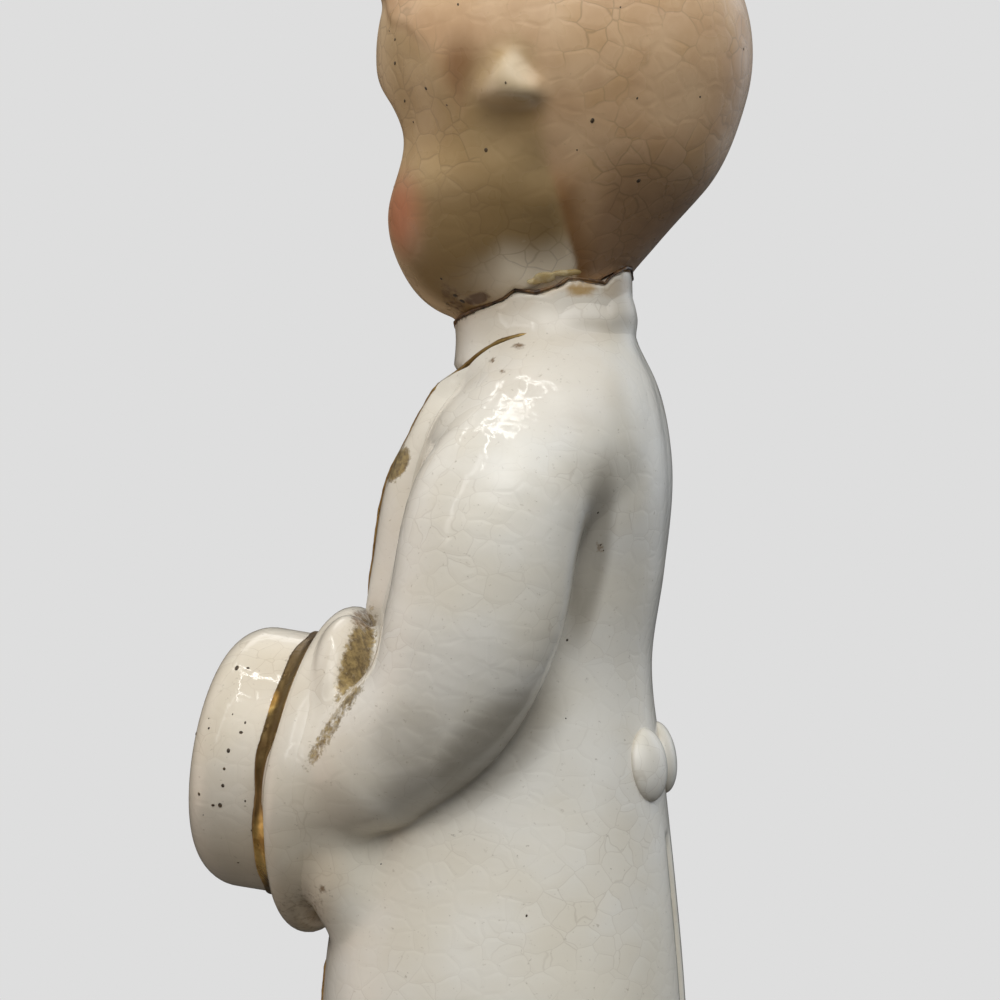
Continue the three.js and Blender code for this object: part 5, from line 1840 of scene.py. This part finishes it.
rng = np.random.default_rng(SPECK_SEED)
listed = np.array(HEAD_SPECKS + HAT_SPECKS + COAT_SPECKS)
places = seen_at(*listed.T)
places = places[np.abs(figure(places)) < SKIN_NEARNESS]
outs = outward(figure, places)
for obj in drawn:
    if obj.name in FAR_SPECKS:
        points, normals = drawing_points(obj)
        on_skin = np.abs(figure(points)) < SKIN_NEARNESS
        far = np.flatnonzero((normals @ TOWARDS < 0) & on_skin)
        chosen = rng.choice(far, FAR_SPECKS[obj.name], replace=False)
        places, outs = np.vstack([places, points[chosen]]), np.vstack([outs, normals[chosen]])
count = len(places)
widths = rng.uniform(0.55, 1, count) ** 2
lengths = rng.uniform(*SPECK_LENGTHS, count)
round_shapes = np.stack([lengths, np.ones(count), np.full(count, SPECK_THICKNESS)], -1)
shapes = widths[:, None] * round_shapes
print(count, "pin specks")
speck_points = path_mesh("pin_specks", places)
for name, values in (("outward", outs), ("shape", shapes)):
    attribute = speck_points.attributes.new(name, "FLOAT_VECTOR", "POINT")
    attribute.data.foreach_set("vector", values.astype(np.float32).ravel())
inputs = {"Size": SPECK_SIZE * MM, "Material": finishes["grit"]}
grown("pin_specks", speck_points, speck_tree(), "dried_glue", [], **inputs)

# %% [markdown]
# ## Finishes on
# Each drawn piece gets one finish. The glaze is on all that aren't named here, as it is on the real
# figure, where one dip covers coat, hat, legs and shoes.

# %% Finishes
finish_of = {"head": "painted skin and hair", "glue_drops": "dried glue"}
finish_of.update(gold_band="fired gold", gold_inside="dull gold")
for obj in drawn:
    obj.data.materials.clear()
    obj.data.materials.append(finishes[finish_of.get(obj.name, "white glaze")])

# %% [markdown]
# ## Stage and light
# The photograph has a pale wall behind the figure and no table. Other views need something to stand
# on, so there is a pale round table top that fades out at its rim and keeps the figure's shadow.

# %% Floor
FLOOR_RADIUS = 185
FLOOR_FADE = (180, 90)
FLOOR_SIDES = 96
FLOOR_DROP = 0.02


def floor_finish(tree):
    place = millimetres(tree)
    reach = tree.node("ShaderNodeVectorMath", {"operation": "LENGTH"}, {"Vector": place}, "Value")
    seen = tree.node("ShaderNodeLightPath", {}, {}, "Is Camera Ray")
    colour = mixed(tree, seen, paint(60, 56, 50), paint(214, 212, 208))
    values = {"Base Color": colour, "Roughness": 0.9, "Alpha": step_up(reach, *FLOOR_FADE)}
    return tree.node("ShaderNodeBsdfPrincipled", {}, values)


turn = np.linspace(0, 2 * math.pi, FLOOR_SIDES, endpoint=False)
rim_x, rim_y = FLOOR_RADIUS * np.cos(turn), FLOOR_RADIUS * np.sin(turn) - SHIFT
disc = np.stack([rim_x, rim_y, np.full(FLOOR_SIDES, -FLOOR_DROP)], -1)
floor = piece("floor", disc, [list(range(FLOOR_SIDES))])
floor.data.materials.append(new_material("pale table", floor_finish))
drawn.remove(floor)

# %% [markdown]
# In the photograph most light falls from above on the camera's side, a cooler share comes from the
# figure's back, and little from below. So the room is a sum of soft round glows, each a direction, a
# strength and a tint, and only the camera sees the plain wall instead.

# %% World
WALL = paint(222, 222, 222)
ROOM_DARK = (0.015, 0.015, 0.015)
GLOW_TIGHTNESS = 14
PLAIN_GLOW, COOL_GLOW, WARM_GLOW = (1, 1, 0.99), (0.94, 1, 1.08), (1.15, 0.9, 0.75)
ROOM_GLOWS = (
    ((0.66, 0.24, 0.72), 3.2, PLAIN_GLOW),
    ((0.82, -0.18, 0.55), 1.2, PLAIN_GLOW),
    ((0.22, 0.77, 0.6), 1.4, COOL_GLOW),
    ((0.65, -0.65, 0.38), 0.25, PLAIN_GLOW),
    ((-0.11, -0.87, 0.48), 0.7, PLAIN_GLOW),
    ((-0.79, 0.55, 0.25), 1.1, COOL_GLOW),
    ((-0.52, -0.09, 0.85), 1.0, PLAIN_GLOW),
    ((0.1, -0.97, -0.2), 1.2, WARM_GLOW),
)

world = bpy.data.worlds.new("room")
bpy.context.scene.world = world
world.use_nodes = True
tree = Tree(world.node_tree)
direction = tree.node("ShaderNodeTexCoord", {}, {}, "Generated")
room = ROOM_DARK
for towards, strength, tint in ROOM_GLOWS:
    values = {"Vector": direction, "Vector_001": towards}
    facing = tree.node("ShaderNodeVectorMath", {"operation": "DOT_PRODUCT"}, values, "Value")
    share = ((facing - 1) * GLOW_TIGHTNESS).math("EXPONENT") * strength
    values = {"Vector": tint, "Scale": share}
    glow = tree.node("ShaderNodeVectorMath", {"operation": "SCALE"}, values)
    values = {"Vector": room, "Vector_001": glow}
    room = tree.node("ShaderNodeVectorMath", {"operation": "ADD"}, values)
seen = tree.node("ShaderNodeLightPath", {}, {}, "Is Camera Ray")
values = {"Color": mixed(tree, seen, room, WALL), "Strength": 1.0}
shade = tree.node("ShaderNodeBackground", {}, values)
tree.node("ShaderNodeOutputWorld", {}, {"Surface": shade})
print("the room has", len(ROOM_GLOWS), "glows")

# %% [markdown]
# The glossy bars on the shoulder and the hat are reflections of ceiling tubes and windows. Each is a
# strip of light between two directions seen from the figure, far enough away to keep its shape, and
# faint, because the room's glows already give the light.

# %% Lamps
HEART = Vector((0, SHIFT, 75))
LAMP_DISTANCE = 700
DAYLIGHT = (1, 0.985, 0.96)


def lamp(name, start, end, width, power):
    """A glowing strip seen from the figure between two directions."""
    start, end = Vector(start).normalized(), Vector(end).normalized()
    back = (start + end).normalized()
    long_way = (end - start).normalized()
    light = bpy.data.lights.new(name, "AREA")
    light.shape = "RECTANGLE"
    light.size, light.size_y = (end - start).length * LAMP_DISTANCE * MM, width * MM
    light.energy = power
    light.color = DAYLIGHT
    obj = bpy.data.objects.new(name, light)
    turn = Matrix((long_way, back.cross(long_way), back)).transposed()
    obj.matrix_world = Matrix.Translation((HEART + back * LAMP_DISTANCE) * MM) @ turn.to_4x4()
    bpy.context.scene.collection.objects.link(obj)
    print(name, "stands at", [round(v, 3) for v in obj.location])


for strip in (
    ("ceiling_tube_far", (-0.15, -0.49, 0.86), (0.39, 0.13, 0.91), 20, 0.42),
    ("ceiling_tube_near", (0.13, -0.34, 0.93), (0.31, 0.31, 0.9), 18, 0.25),
    ("ceiling_tube_end", (-0.3, -0.57, 0.76), (-0.16, -0.62, 0.77), 40, 0.06),
    ("ceiling_tube_cross", (0.07, -0.26, 0.96), (0.6, -0.21, 0.77), 22, 0.26),
    ("tall_window", (0.48, -0.28, 0.83), (0.72, -0.66, 0.22), 60, 0.23),
    ("low_window", (-0.8, -0.19, 0.58), (-0.44, -0.49, 0.75), 150, 0.2),
):
    lamp(*strip)
